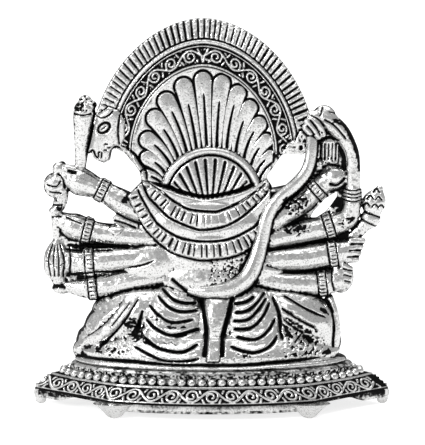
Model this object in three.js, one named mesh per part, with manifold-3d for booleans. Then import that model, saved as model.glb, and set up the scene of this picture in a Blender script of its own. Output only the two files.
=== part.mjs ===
// A small seated five-headed, many-armed temple figure in white metal, on a low six-footed plinth.
// Millimetres. +Z is up, +Y is the way the faces look, the origin is the middle of the plinth's
// footprint on the ground. The back, with the tail and the lotus halo, faces -Y.

import * as THREE from "three";
import { mergeVertices } from "three/addons/utils/BufferGeometryUtils.js";
import Module from "manifold-3d";

// Driving dimensions
const PLINTH_HALF_LENGTH = 40;
const PLINTH_HALF_DEPTH = 16.8;
const PLINTH_TOP = 10;
const FIGURE_TOP = 86.5;

// Plinth: a point of its outline is a share of the top's oval, or from 1 to 2 between oval and rim
const OVAL_HALF_LENGTH = 31;
const OVAL_HALF_DEPTH = 12.5;
const PLINTH_CORNER = { x: 22.8, y: 13.16 };
const CORNER_ANGLE = Math.atan2(PLINTH_CORNER.y, PLINTH_CORNER.x);
const SIDE_BOW = 0.02;
const SKIRT_FOOT = 1.2;
const SIDE_SKIRT_FOOT = 2.7;
const CHANNEL_Z = 6.4;
const PLINTH_PROFILE = [
  [0, 8.5],
  [0.85, 8.5],
  [0.95, 5],
  [1.42, 4.9],
  [1.85, 3],
  [1.87, SKIRT_FOOT],
  [2, SKIRT_FOOT],
  [2, 3.9],
  [1.93, 4.2],
  [1.54, 5.9],
  [1.48, CHANNEL_Z],
  [1.12, CHANNEL_Z],
  [1.13, 8.9],
  [1.04, PLINTH_TOP],
  [0, PLINTH_TOP],
];
const BEAD_COUNT = 36;
const BEAD_RADIUS = 1.15;
const BEAD_RISE = 1.8;
const BEAD_REACH = 1.3;
const FOOT_REACH = 0.93;
const FOOT = { top: 2, bottom: 1, height: 4 };

// Halo: superellipses about one centre, named by their share of the outer edge
const HALO = { x: -1.9, z: 57.3, halfWidth: 24.9, rise: FIGURE_TOP - 57.3, power: 1.85 };
const RIM_INNER = 0.85;
const RIDGE_INNER = 0.8;
const SCROLL_INNER = 0.67;
const LOTUS_EDGE = 0.61;
const HALO_FOOT_ANGLE = 3;
const RIM_FOOT_ANGLE = 15;
const HALO_SHOULDERS = [
  [-20.6, 57.6], [-17.6, 56], [-15.8, 52.4], [-16, 46], [12, 46], [12, 52], [13.8, 55], [16.4, 57],
];
const PLATE_THICKNESS = 2;
const BAND_RISE = 1.6;
const FRONT_RISE = 1.4;
const FLUTE_COUNT = 34;
const PETALS_EACH_SIDE = 6;
const PETAL_RISE = 0.7;
const FAN = { x: -0.3, z: 46.7, outer: 11.7, inner: 9.6 };
const FAN_RAYS = 11;
const FAN_FOCUS_Z = 40.5;

// Shoulders and back, each [x, y, z] of the middle and [x, y, z] half sizes
const UPPER_BACK = { at: [-1.6, 0.6, 42], half: [16.4, 5.4, 8.4] };
const LOWER_BACK = { at: [-0.5, 1, 34], half: [12.5, 6, 10] };

// Collar bands on the back: the two circles that bound each one, in the X-Z plane
const COLLAR_BANDS = [
  { outer: [-1.6, 51, 17.3], inner: [-1.6, 54.6, 16.7], rise: 0.9, ridges: 15, from: -62, to: 50 },
  { outer: [-1.2, 57.1, 16.7], inner: [-1.2, 62, 18.1], rise: 0.7, ridges: 13, from: -50, to: 42 },
];

// The outer two heads hang from the foot of the halo, through stations [x, y, z, half width]
const HORSE = [
  [-22.7, -0.6, 64.4, 2.4], [-23.6, -0.9, 61.2, 2.9], [-24.4, -0.9, 58.6, 2.7], [-24.8, -0.8, 57, 2.3],
];
const BOAR = [[18.8, 0, 64.6, 2.4], [19, -0.3, 61.4, 2.7], [18.6, -0.2, 58.8, 2.2]];

// Limbs run through stations [x, y, z, half width]; a bangle sits at a share of the length
const LEFT_ARMS = [
  {
    path: [
      [-15, 0, 43.6, 2.8], [-20.3, 0.5, 46, 2.8], [-24.7, 0.6, 48.5, 2.2], [-29.1, 0.8, 50.3, 3.2],
      [-31.4, 1.2, 51, 2.6],
    ],
    bangle: 0.52,
  },
  {
    path: [
      [-13, 0, 37.9, 2.4], [-20.4, 0.5, 38.3, 2.4], [-26, 0.6, 38.6, 2.4], [-30.5, 0.8, 40, 3.1],
      [-33, 1.2, 41.2, 2.2],
    ],
    bangle: 0.6,
  },
  {
    path: [
      [-11, -0.6, 33.5, 2.4], [-18.2, -0.2, 33.2, 2.6], [-23.7, 0, 32.6, 3], [-28, 0.4, 32.2, 3],
      [-31.5, 0.8, 32.4, 2.8],
    ],
    bangle: 0.74,
  },
  {
    path: [
      [-8.5, -0.6, 30, 2.4], [-16, -0.4, 28.9, 2.6], [-22.7, 0, 27.2, 2.6], [-28, 0.6, 26.4, 2.4],
      [-33, 1, 26.8, 1.2],
    ],
    bangle: 0.72,
  },
];
const RIGHT_ARMS = [
  {
    path: [
      [13.5, 0, 41.6, 2.6], [19.7, 0.5, 45.4, 2.5], [23.7, 0.6, 49, 2.3], [27, 0.8, 51.4, 2.8],
    ],
    bangle: 0.68,
  },
  {
    path: [
      [12.5, 0, 37, 2.4], [19.7, 0.5, 38.2, 2.6], [25.5, 0.6, 39.8, 2.7], [30.3, 0.4, 42.4, 2.4],
      [31.3, 0, 46, 1.9],
    ],
    bangle: 0.62,
  },
  {
    path: [
      [11, -0.4, 32.6, 2.4], [19.7, -0.1, 32.8, 2.9], [25.4, 0.2, 33.8, 2.8], [30.4, 0.6, 34.8, 2.7],
    ],
    bangle: 0.86,
  },
  {
    path: [
      [10, -0.6, 28.7, 2.4], [17.5, -0.4, 27.4, 2.9], [24.3, 0.2, 27.2, 2.8], [29.2, 0.8, 28.2, 2.6],
    ],
    bangle: 0.84,
  },
];
const RAISED_FOREARM = [
  [31.3, 0, 46, 1.8], [31.2, -0.2, 55, 1.6], [30.3, -0.4, 58.6, 1.7], [28.2, -0.5, 61.8, 2],
  [25, -0.6, 64.4, 2.1],
];
const BANGLE_WIDTH = 2.2;
const BANGLE_RISE = 0.45;

// Thin webs fill the casting between the arms, as outlines in the X-Z plane
const WEB_THICKNESS = 1.2;
const WEBS = [
  [[-14, 38], [-30, 40], [-34.6, 39], [-34.6, 30], [-30, 26.6], [-14, 28.6]],
  [
    [11, 44], [11, 48.8], [14, 49], [18.2, 49.9], [21.4, 53], [22.8, 57], [22.8, 62.5], [28.4, 61.4],
    [30.8, 56], [30.8, 42], [30.4, 30], [13, 27.6],
  ],
];
// The web stops short of the gap between the raised arm and the next one down
const WEB_GAP = [
  [21.9, 42.2], [22.7, 43.7], [25.2, 46.4], [28, 48.2],
  [27.9, 46.9], [26.6, 45], [25.5, 43.6], [23.4, 42.2],
];

const TAIL = [
  [-2, -5.6, 26.6, 1.8], [3, -6, 26.8, 1.8], [7.4, -6, 28.3, 1.7], [9.8, -5.8, 31.8, 1.6],
  [11.4, -5.2, 37.4, 1.5],
  [12.6, -4.3, 43.4, 1.5], [14.8, -3.4, 47, 1.5], [18.4, -2.7, 50, 1.6], [21.4, -2, 53.2, 1.6],
  [22.5, -1.4, 58, 1.5], [22, -0.8, 64, 1.3],
];

// Things held, on the back's left and right
const MACE = [[-29.4, 0.6, 53, 1.4], [-29.1, 0.6, 58, 1.8], [-28.5, 0.4, 64.8, 2.5], [-28, 0.4, 66.9, 1.8]];
const STAFF = [[-33.4, 0.8, 54, 1.2], [-34, 0.8, 48, 1.3], [-34.7, 0.8, 43.4, 1.2], [-34.6, 0.8, 38, 0.9]];
const BUD = [
  [-34.6, 0.8, 37.4, 0.5], [-34.6, 0.8, 34.5, 2.5], [-34.6, 0.8, 30.6, 2.8], [-34.3, 0.8, 28.4, 1.6],
];
const PLUME = [[26.8, 0.6, 52.5, 1.8], [26.7, 0.5, 58.6, 2.5]];
const CLUB = [
  [31, 0.6, 36.5, 1.2], [34.6, 0.6, 40.2, 1.3], [36, 0.6, 42.6, 2.4], [37, 0.6, 45.4, 2.1],
  [37.5, 0.6, 47.6, 0.7],
];

// Legs, one side; the other is its mirror, a little narrower
const THIGH = [[10, -0.5, 25.2, 5], [18.5, 0, 22.2, 5.6], [24.2, 0.6, 18.4, 5.6], [26.6, 1, 14.8, 5.2]];
const SHIN = [[26.5, 2.6, 14, 4.4], [16, 8, 14.6, 3], [6, 9.6, 14.6, 2.6], [1, 9.8, 14, 2]];
const SEAT = { at: [8.7, -1.2, 18.9], half: [8.8, 6.4, 8.8] };
const RIGHT_LEG_REACH = 0.95;
const PLEAT_COUNT = 7;
const PLEAT_TOP = 25.4;
const PLEAT_FOOT = 12.2;
const PLEAT_SPANS = { left: [9, 15.5], right: [6.5, 12] };
const SASH = [[1.2, -6.4, 25.5, 3.2], [0.7, -7.2, 18, 1.7], [0.3, -7.9, 12.8, 1.9]];
const SLAB = { halfLength: 30.6, halfDepth: 10.4, thickness: 1.6 };

// Faces thinner than this, left by the joins, are merged into their neighbours
const SLIVER = 0.02;

const POLISHED_SILVER = new THREE.MeshStandardMaterial({ color: 0xc9c8c4, roughness: 0.3, metalness: 1 });
const DULLED_SILVER = new THREE.MeshStandardMaterial({ color: 0xbdbcb8, roughness: 0.36, metalness: 1 });

const wasm = await Module();
wasm.setup();

const lerp = THREE.MathUtils.lerp;
const radians = THREE.MathUtils.degToRad;
const vector = ([x, y, z]) => new THREE.Vector3(x, y, z);

// A closed three.js geometry as a solid with its faces pointing out.
function solid(geometry) {
  const bare = geometry.clone();
  bare.deleteAttribute("normal");
  bare.deleteAttribute("uv");
  const merged = mergeVertices(bare, 1e-4);
  const at = merged.attributes.position.array;
  const faces = [];
  let volume = 0;
  for (let i = 0; i < merged.index.count; i += 3) {
    const [a, b, c] = [0, 1, 2].map((k) => merged.index.array[i + k]);
    if (a === b || b === c || c === a) continue;
    faces.push([a, b, c]);
    const [p, q, r] = [a, b, c].map((v) => new THREE.Vector3().fromArray(at, 3 * v));
    volume += p.dot(q.cross(r));
  }
  if (volume < 0) faces.forEach((face) => face.reverse());
  const mesh = new wasm.Mesh({
    numProp: 3,
    vertProperties: Float32Array.from(at),
    triVerts: Uint32Array.from(faces.flat()),
  });
  return new wasm.Manifold(mesh);
}

function geometryOf(joined) {
  const { vertProperties, triVerts } = joined.getMesh();
  const geometry = new THREE.BufferGeometry();
  geometry.setAttribute("position", new THREE.BufferAttribute(vertProperties, 3));
  geometry.setIndex(new THREE.BufferAttribute(triVerts, 1));
  return geometry;
}

function moveVertices(geometry, move) {
  const position = geometry.attributes.position;
  const point = new THREE.Vector3();
  for (let i = 0; i < position.count; i++) {
    move(point.fromBufferAttribute(position, i));
    position.setXYZ(i, point.x, point.y, point.z);
  }
  return geometry;
}

// A round-ended limb through stations, its section flattened by `flat` towards the Y axis. A bangle
// stands out of it round a share of its length.
function limb(stations, { sides = 6, steps = 1, flat = 1, bangle = null } = {}) {
  const curve = new THREE.CatmullRomCurve3(stations.map(vector), false, "centripetal");
  const spans = stations.length - 1;
  let places = Array.from({ length: spans * steps + 1 }, (_, i) => ({ t: i / (spans * steps), rise: 0 }));
  if (bangle !== null) {
    const half = BANGLE_WIDTH / 2 / curve.getLength();
    places = places.filter(({ t }) => Math.abs(t - bangle) > half + 0.02);
    [-1, 1].forEach((end) => {
      const t = bangle + end * half;
      places.push({ t, rise: BANGLE_RISE }, { t: t + end * 0.01, rise: 0 });
    });
    places.sort((one, other) => one.t - other.t);
  }
  const rings = places.map(({ t, rise }) => {
    const span = Math.min(Math.floor(t * spans), spans - 1);
    const radius = lerp(stations[span][3], stations[span + 1][3], t * spans - span) + rise;
    return { centre: curve.getPoint(t), along: curve.getTangent(t), radius };
  });
  const first = rings[0];
  const last = rings[rings.length - 1];
  const rounded = (end, sign, share) => ({
    centre: end.centre.clone().addScaledVector(end.along, sign * end.radius * Math.sin(share)),
    along: end.along,
    radius: end.radius * Math.cos(share),
  });
  const EDGE = Math.PI / 4;
  rings.unshift({ ...rounded(first, -1, Math.PI / 2), radius: 0 }, rounded(first, -1, EDGE));
  rings.push(rounded(last, 1, EDGE), { ...rounded(last, 1, Math.PI / 2), radius: 0 });
  const profile = rings.map(({ radius }, i) => new THREE.Vector2(radius, i));
  return solid(
    moveVertices(new THREE.LatheGeometry(profile, sides, Math.PI / 2), (p) => {
      const { centre, along } = rings[Math.round(p.y)];
      const depth = new THREE.Vector3(0, 1, 0).addScaledVector(along, -along.y);
      if (depth.length() < 0.3) depth.set(0, 0, 1).addScaledVector(along, -along.z);
      depth.normalize();
      const across = along.clone().cross(depth);
      p.copy(centre.clone().addScaledVector(across, p.x).addScaledVector(depth, p.z * flat));
    }),
  );
}

// A closed slab bent from a box. Its near face is a grid, each point placed by its two shares.
function sheet(across, down, place) {
  const box = new THREE.BoxGeometry(1, 1, 1, across, down, 1);
  return solid(moveVertices(box, (p) => p.copy(place(p.x + 0.5, p.y + 0.5, p.z > 0))));
}

function ball(at, half, { sides = 10, rows = 6 } = {}) {
  const geometry = new THREE.SphereGeometry(1, sides, rows);
  geometry.rotateX(Math.PI / 2);
  geometry.scale(...half);
  return solid(geometry.translate(...at));
}

const outlineOf = (points) => new THREE.Shape(points.map(([x, z]) => new THREE.Vector2(x, z)));

// A plate cut from a flat outline in the X-Z plane, from y0 towards +Y.
function plate(shape, thickness, y0 = -thickness / 2) {
  const sweep = { depth: thickness, bevelEnabled: false, curveSegments: 12 };
  const geometry = new THREE.ExtrudeGeometry(shape, sweep);
  return solid(geometry.rotateX(Math.PI / 2).translate(0, y0 + thickness, 0));
}

// How far the plinth's rim lies from its middle at an angle, with bowed long edges.
function rimRadius(angle) {
  const x = Math.abs(Math.cos(angle));
  const y = Math.abs(Math.sin(angle));
  const turned = Math.atan2(y, x);
  if (turned >= CORNER_ANGLE - 1e-9) {
    const sag = PLINTH_HALF_DEPTH - PLINTH_CORNER.y;
    const radius = (PLINTH_CORNER.x ** 2 + sag ** 2) / (2 * sag);
    const offset = PLINTH_HALF_DEPTH - radius;
    return offset * y + Math.sqrt(radius ** 2 - (offset * x) ** 2);
  }
  const run = PLINTH_HALF_LENGTH - PLINTH_CORNER.x;
  const straight = (PLINTH_HALF_LENGTH * PLINTH_CORNER.y) / (x * PLINTH_CORNER.y + y * run);
  return straight * (1 - SIDE_BOW * Math.sin((Math.PI * turned) / CORNER_ANGLE));
}

function ovalRadius(angle) {
  return 1 / Math.hypot(Math.cos(angle) / OVAL_HALF_LENGTH, Math.sin(angle) / OVAL_HALF_DEPTH);
}

function plinthPoint(reach, angle, z) {
  const radius = reach < 1
    ? reach * ovalRadius(angle)
    : lerp(ovalRadius(angle), rimRadius(angle), reach - 1);
  return new THREE.Vector3(radius * Math.cos(angle), radius * Math.sin(angle), z);
}

// Along the slanting end edges the skirt is cut up into a shallow arch between the feet.
function skirtLift(angle) {
  const turned = Math.atan2(Math.abs(Math.sin(angle)), Math.abs(Math.cos(angle)));
  const inside = turned < CORNER_ANGLE - 1e-9 && turned > 1e-9;
  return inside ? SIDE_SKIRT_FOOT - SKIRT_FOOT : 0;
}

function plinth() {
  const SEGMENTS = 24;
  const profile = PLINTH_PROFILE.map(([reach, z]) => new THREE.Vector2(reach, z));
  const shell = moveVertices(new THREE.LatheGeometry(profile, SEGMENTS), (p) => {
    const reach = Math.hypot(p.x, p.z);
    const angle = Math.atan2(p.z, p.x);
    const z = p.y < SKIRT_FOOT + 0.01 ? p.y + skirtLift(angle) : p.y;
    p.copy(reach < 1e-9 ? new THREE.Vector3(0, 0, z) : plinthPoint(reach, angle, z));
  });
  const pieces = [solid(shell)];

  const course = new THREE.CatmullRomCurve3(
    Array.from({ length: 72 }, (_, i) => plinthPoint(BEAD_REACH, (i * Math.PI) / 36, CHANNEL_Z)),
    true,
  );
  for (let i = 0; i < BEAD_COUNT; i++) {
    const at = course.getPointAt(i / BEAD_COUNT);
    const along = course.getTangentAt(i / BEAD_COUNT);
    const bead = new THREE.ConeGeometry(BEAD_RADIUS, BEAD_RISE, 4);
    bead.rotateX(Math.PI / 2).rotateZ(Math.PI / 4 + Math.atan2(along.y, along.x));
    pieces.push(solid(bead.translate(at.x, at.y, CHANNEL_Z + BEAD_RISE / 2 - 0.3)));
  }

  const corners = [0, CORNER_ANGLE, Math.PI - CORNER_ANGLE].flatMap((a) => [a, a + Math.PI]);
  corners.forEach((angle) => {
    const foot = new THREE.CylinderGeometry(FOOT.top, FOOT.bottom, FOOT.height, 6);
    const { x, y } = plinthPoint(1 + FOOT_REACH, angle, 0).multiplyScalar(0.97);
    pieces.push(solid(foot.rotateX(Math.PI / 2).translate(x, y, FOOT.height / 2)));
  });
  return pieces;
}

// A point on the halo's superellipse of the given share; angle 0 is towards +X, 90 is up.
function haloPoint(share, degrees) {
  const c = Math.cos(radians(degrees));
  const s = Math.sin(radians(degrees));
  const power = 2 / HALO.power;
  return new THREE.Vector2(
    HALO.x + share * HALO.halfWidth * Math.sign(c) * Math.abs(c) ** power,
    HALO.z + share * HALO.rise * Math.sign(s) * Math.abs(s) ** power,
  );
}

function arch(share, from, to, count = 30) {
  return Array.from({ length: count + 1 }, (_, i) => haloPoint(share, lerp(from, to, i / count)));
}

// A band of the halo between two shares of its edge, as thick as asked for on the near side.
function haloBand(outer, inner, cells, rise, foot = HALO_FOOT_ANGLE, edge = () => 0) {
  return sheet(cells, 1, (u, v, near) => {
    const degrees = lerp(foot, 180 - foot, u);
    const at = haloPoint(lerp(outer, inner, v) - (v === 0 ? edge(u) : 0), degrees);
    return new THREE.Vector3(at.x, near ? -rise(u, v) : FRONT_RISE, at.y);
  });
}

// A lotus petal: narrow where it leaves the fan, broad and round at the halo's inner ridge.
function petal(index) {
  const foot = radians(90 - (1.7 + 11.2 * index));
  const tipAngle = radians(90 - (-3.4 + 9.8 * index));
  const from = new THREE.Vector2(FAN.x + 11 * Math.cos(foot), FAN.z + 11 * Math.sin(foot));
  const aim = new THREE.Vector2(Math.cos(tipAngle), Math.sin(tipAngle));
  let reach = 12;
  const inside = (p) =>
    Math.abs((p.x - HALO.x) / HALO.halfWidth) ** HALO.power +
      Math.abs((p.y - HALO.z) / HALO.rise) ** HALO.power <
    LOTUS_EDGE ** HALO.power;
  const tipAt = (r) => new THREE.Vector2(FAN.x, FAN.z).addScaledVector(aim, r);
  while (inside(tipAt(reach + 0.2)) || reach < 17) reach += 0.2;
  const tip = tipAt(reach);
  const along = tip.clone().sub(from);
  const side = new THREE.Vector2(-along.y, along.x).normalize();
  const broad = (reach * radians(9.8)) / 2 - 0.25;
  const WIDTHS = [0.4, 1, 0.2];
  const LENGTHS = [0, 0.84, 1];
  return sheet(2, 2, (u, v, near) => {
    const row = Math.round(v * 2);
    const at = from.clone().addScaledVector(along, LENGTHS[row]);
    at.addScaledVector(side, (2 * u - 1) * WIDTHS[row] * broad);
    const crest = u === 0.5 ? PETAL_RISE * WIDTHS[row] : -0.1;
    return new THREE.Vector3(at.x, near ? -PLATE_THICKNESS / 2 - crest : -0.5, at.y);
  });
}

function halo() {
  const field = [
    ...arch(0.82, HALO_FOOT_ANGLE, 180 - HALO_FOOT_ANGLE),
    ...HALO_SHOULDERS.map(([x, z]) => new THREE.Vector2(x, z)),
  ];
  const crest = (u) => Math.round(u * 2 * FLUTE_COUNT) % 2;
  const scallop = (u) => (crest(u) ? 0 : 0.014);
  const pieces = [
    plate(new THREE.Shape(field), PLATE_THICKNESS),
    haloBand(1, 0.83, 2 * FLUTE_COUNT, (u, v) => 0.8 + 0.3 * v + 0.7 * crest(u), RIM_FOOT_ANGLE, scallop),
    haloBand(RIM_INNER, RIDGE_INNER, 24, () => BAND_RISE + 0.3),
    haloBand(SCROLL_INNER, LOTUS_EDGE, 20, () => BAND_RISE),
  ];
  for (let i = -PETALS_EACH_SIDE; i <= PETALS_EACH_SIDE; i++) pieces.push(petal(i));
  return pieces;
}

// The hair seen from behind: a shallow dome inside a raised ring, ribbed from a point below.
function fan() {
  const ring = [];
  for (let degrees = 0; degrees <= 180; degrees += 12) {
    const [c, s] = [Math.cos(radians(degrees)), Math.sin(radians(degrees))];
    const middle = (FAN.outer + FAN.inner) / 2;
    ring.push([FAN.x + middle * c, -1.6, FAN.z + middle * s, 1.1]);
  }
  const ribs = sheet(2 * FAN_RAYS, 2, (u, v, near) => {
    const turned = radians(lerp(175, 5, u));
    const rim = new THREE.Vector2(FAN.x + 10 * Math.cos(turned), FAN.z + 10 * Math.sin(turned));
    const focus = new THREE.Vector2(FAN.x + 3 * Math.cos(turned), FAN_FOCUS_Z + 2);
    const at = focus.lerp(rim, v);
    const rise = 0.5 * (Math.round(u * 2 * FAN_RAYS) % 2) + 1.3 * Math.sin(Math.PI * (0.35 + 0.5 * v));
    return new THREE.Vector3(at.x, near ? -1.2 - rise : 0.5, at.y);
  });
  return [limb(ring, { sides: 6 }), ribs];
}

// Where a line along Y first meets an egg-shaped mass, from behind.
function behind(mass, x, z) {
  const dx = (x - mass.at[0]) / mass.half[0];
  const dz = (z - mass.at[2]) / mass.half[2];
  return mass.at[1] - mass.half[1] * Math.sqrt(Math.max(0, 1 - dx * dx - dz * dz));
}

const backSurface = (x, z) => Math.min(behind(UPPER_BACK, x, z), behind(LOWER_BACK, x, z), -1.4);

// Beaded collars hang across the back between two circles, ridged from edge to edge.
function collar() {
  const onCircle = ([x, z, radius], degrees) =>
    new THREE.Vector2(x + radius * Math.sin(radians(degrees)), z - radius * Math.cos(radians(degrees)));
  return COLLAR_BANDS.map(({ outer, inner, rise, ridges, from, to }) =>
    sheet(2 * ridges, 1, (u, v, near) => {
      const degrees = lerp(from, to, u);
      const { x, y: z } = onCircle(outer, degrees).lerp(onCircle(inner, degrees), v);
      const lift = rise * (0.55 + 0.45 * (Math.round(u * 2 * ridges) % 2));
      return new THREE.Vector3(x, near ? backSurface(x, z) - lift : -0.5, z);
    }),
  );
}

function torso() {
  return [
    ball(UPPER_BACK.at, UPPER_BACK.half, { sides: 12, rows: 6 }),
    ball(LOWER_BACK.at, LOWER_BACK.half, { sides: 12, rows: 6 }),
    ball([-0.5, 4.5, 42.5], [10.5, 5, 6.5], { sides: 8 }),
    ball([-0.3, 4.5, 32.5], [8.8, 6, 8], { sides: 8 }),
  ];
}

function arms() {
  const gap = plate(outlineOf(WEB_GAP), 4 * WEB_THICKNESS);
  return [
    ...[...LEFT_ARMS, ...RIGHT_ARMS].map(({ path, bangle }) => limb(path, { bangle })),
    limb(RAISED_FOREARM, { bangle: 0.1 }),
    ...WEBS.map((web) => plate(outlineOf(web), WEB_THICKNESS, 0.33).subtract(gap)),
  ];
}

// Four fingers side by side round a grip.
function fingers([x, y, z], [stepX, stepZ], length, radius = 0.8) {
  return [0, 1, 2, 3].map((i) => {
    const at = [x + i * stepX, y, z + i * stepZ];
    return limb([[...at, radius], [at[0] + length, y - 0.4, at[2], radius * 0.9]], { sides: 6, steps: 1 });
  });
}

function hands() {
  return [
    ball([-35, 0.8, 49.5], [2.4, 2, 2.8], { sides: 6, rows: 5 }),
    ball([27.2, 0.4, 51.2], [2.9, 2.6, 2.9], { sides: 8, rows: 5 }),
    ball([29.6, 0.6, 28.4], [2.6, 2.2, 4.2], { sides: 6, rows: 5 }),
    ball([24.8, -0.6, 65], [2.6, 1.9, 2.4], { sides: 7, rows: 5 }),
    ...fingers([31.2, -0.4, 37.2], [-0.45, -1.4], 2.4),
  ];
}

function held() {
  return [
    limb(MACE, { flat: 0.8 }),
    limb(STAFF, { sides: 6 }),
    limb(BUD, { flat: 0.9 }),
    limb(PLUME, { sides: 8, flat: 0.6 }),
    limb(CLUB),
  ];
}

// Legs folded outwards. Over the seat the cloth hangs in sagging pleats each side of a flat sash.
function legs() {
  const pieces = [];
  [-1, RIGHT_LEG_REACH].forEach((side) => {
    const placed = (path) => path.map(([x, y, z, r]) => [x * side, y, z, r]);
    pieces.push(limb(placed(THIGH)), limb(placed(SHIN)));
    const seat = { at: [SEAT.at[0] * side, SEAT.at[1], SEAT.at[2]], half: SEAT.half };
    pieces.push(ball(seat.at, seat.half, { sides: 10, rows: 6 }));
    const [topSpan, footSpan] = side < 0 ? PLEAT_SPANS.left : PLEAT_SPANS.right;
    pieces.push(
      sheet(3, 2 * PLEAT_COUNT, (u, v, near) => {
        const x = (1.4 + lerp(footSpan, topSpan, v) * u) * side;
        const z = lerp(PLEAT_FOOT, PLEAT_TOP, v) + 2.8 * u * u - 1.7 * Math.sin(Math.PI * u);
        const crest = 0.8 * (Math.round(v * 2 * PLEAT_COUNT) % 2);
        const surface = Math.min(behind(seat, x, z), lerp(-5.6, -1, u * u));
        return new THREE.Vector3(x, near ? surface - crest - 0.3 : 0, z);
      }),
    );
  });
  pieces.push(limb(SASH, { sides: 6, flat: 0.5 }));
  return pieces;
}

function slab() {
  const geometry = new THREE.CylinderGeometry(1, 1, SLAB.thickness, 30);
  geometry.rotateX(Math.PI / 2).scale(SLAB.halfLength, SLAB.halfDepth, 1);
  return solid(geometry.translate(-0.2, 0, PLINTH_TOP + SLAB.thickness / 2));
}

// A crown turned on an upright axis.
function crown([x, y, z], radius, height) {
  const profile = [[0, 0], [1, 0], [1.05, 0.2], [0.9, 0.42], [0.6, 0.55], [0.5, 0.8], [0, 1]];
  const points = profile.map(([r, h]) => new THREE.Vector2(r * radius, h * height));
  return solid(new THREE.LatheGeometry(points, 7).rotateX(Math.PI / 2).translate(x, y, z));
}

function heads() {
  const coarse = { sides: 7, rows: 5 };
  const small = { sides: 6, rows: 4 };
  return [
    // The ape's head in the middle, with a broad muzzle under a tall crown
    ball([-0.9, 6.4, 52.5], [5.8, 5.6, 6.6]),
    ball([-0.9, 10.8, 50], [3.4, 3.2, 3], coarse),
    ball([-6.9, 5.8, 52.6], [1.3, 1.6, 2.2], small),
    ball([5.1, 5.8, 52.6], [1.3, 1.6, 2.2], small),
    crown([-0.9, 5.2, 56.6], 5.4, 14),
    // The lion's on one side
    ball([-9.8, 3.8, 53], [4.6, 4.4, 5.6], coarse),
    ball([-10.6, 7.6, 51.4], [2.4, 2.2, 2.2], small),
    crown([-9.6, 3.2, 57], 3.9, 9),
    // The eagle's on the other
    ball([7.7, 3.8, 53], [4.3, 4.4, 5.4], coarse),
    limb([[8.4, 6.6, 53, 1.9], [9.2, 9.2, 51.8, 1.3], [9.6, 10, 50.2, 0.5]], { sides: 5 }),
    crown([7.6, 3.2, 56.8], 3.8, 9),
    // The horse's and the boar's at the ends
    limb(HORSE, { flat: 0.85 }),
    limb(BOAR, { flat: 0.8 }),
  ];
}

function named(name, material, pieces, cut = null) {
  const whole = wasm.Manifold.union(pieces);
  // Pockets shut in between the pieces are metal all through in the casting.
  const bodies = (cut ? whole.subtract(cut) : whole).decompose();
  const joined = wasm.Manifold.union(bodies.filter((body) => body.volume() > 0)).simplify(SLIVER);
  const mesh = new THREE.Mesh(geometryOf(joined), material);
  mesh.name = name;
  return mesh;
}

const casting = [
  slab(),
  ...halo(),
  ...fan(),
  ...torso(),
  ...collar(),
  ...arms(),
  ...hands(),
  ...held(),
  ...legs(),
  ...heads(),
  limb(TAIL),
];
const below = solid(new THREE.BoxGeometry(90, 90, 20).translate(0, 0, PLINTH_TOP - 10));

const idol = new THREE.Group();
idol.add(named("plinth", DULLED_SILVER, plinth()));
idol.add(named("figure", POLISHED_SILVER, casting, below));

export default idol;
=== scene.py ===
import math

import bpy
import numpy as np
from bpy.props import FloatProperty, FloatVectorProperty, IntProperty, PointerProperty
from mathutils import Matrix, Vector


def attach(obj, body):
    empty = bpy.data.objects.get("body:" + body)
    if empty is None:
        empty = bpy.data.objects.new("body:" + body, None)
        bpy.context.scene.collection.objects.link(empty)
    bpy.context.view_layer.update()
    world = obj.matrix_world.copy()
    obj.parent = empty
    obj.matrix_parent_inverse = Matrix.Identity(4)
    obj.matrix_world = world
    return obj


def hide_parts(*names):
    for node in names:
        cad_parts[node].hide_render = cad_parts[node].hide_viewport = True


bl_info = {
    "name": "Silver Shrine Figure",
    "version": (1, 0, 0),
    "blender": (4, 5, 0),
    "location": "View3D > Sidebar > Shrine Figure",
    "description": "Builds a cast, antiqued white metal temple figure on its footed plinth",
    "category": "Add Mesh",
}

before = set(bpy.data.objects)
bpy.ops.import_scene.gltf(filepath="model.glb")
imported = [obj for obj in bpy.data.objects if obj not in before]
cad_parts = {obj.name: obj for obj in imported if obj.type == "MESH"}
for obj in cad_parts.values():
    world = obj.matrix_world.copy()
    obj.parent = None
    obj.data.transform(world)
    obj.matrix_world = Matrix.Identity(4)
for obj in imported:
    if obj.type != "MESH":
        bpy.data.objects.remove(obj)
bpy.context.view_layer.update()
MM = 0.001

# Everything below is modelled in millimetres: +Z up, the back with the lotus faces -Y.
# The halo's centre, the power of its superellipse and its plate's two faces
HALO_X, HALO_Z, HALO_POWER = -1.9, 57.3, 1.85
PLATE_BACK, PLATE_FRONT = -1.0, 1.2
# The ribbed dome of hair: its centre, its ring's radii and the point its rays run from
FAN = (-0.2, 46.7)
FAN_OUTER, FAN_INNER = 11.6, 9.8
FAN_FOCUS = (-0.3, 40.5)
PLINTH_TOP = 10.0

# The reliefs' cells, for the back and for the plainer front
FINE_CELL, COARSE_CELL = 0.09, 0.12

# How many triangles each piece keeps, and the plinth before its beads and feet join it
HALO_TRIANGLES, TORSO_TRIANGLES, TAIL_TRIANGLES = 196000, 150000, 30000
LEFT_ARMS_TRIANGLES, RIGHT_ARMS_TRIANGLES, LEGS_TRIANGLES = 130000, 140000, 150000
PLINTH_SKIN_TRIANGLES, PLINTH_TRIANGLES = 150000, 190000


# Reliefs


def smooth(points, per=6):
    """A Catmull-Rom curve through points of any dimension."""
    p = np.asarray(points, float)
    if len(p) < 3:
        return p
    p = np.vstack([2 * p[0] - p[1], p, 2 * p[-1] - p[-2]])
    t = np.linspace(0, 1, per, endpoint=False)[:, None]
    out = []
    for a, b, c, d in zip(p, p[1:], p[2:], p[3:]):
        out.append(
            0.5 * (2 * b + (c - a) * t + (2 * a - 5 * b + 4 * c - d) * t**2 + (3 * b - a - 3 * c + d) * t**3)
        )
    return np.vstack([*out, p[-2][None]])


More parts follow.
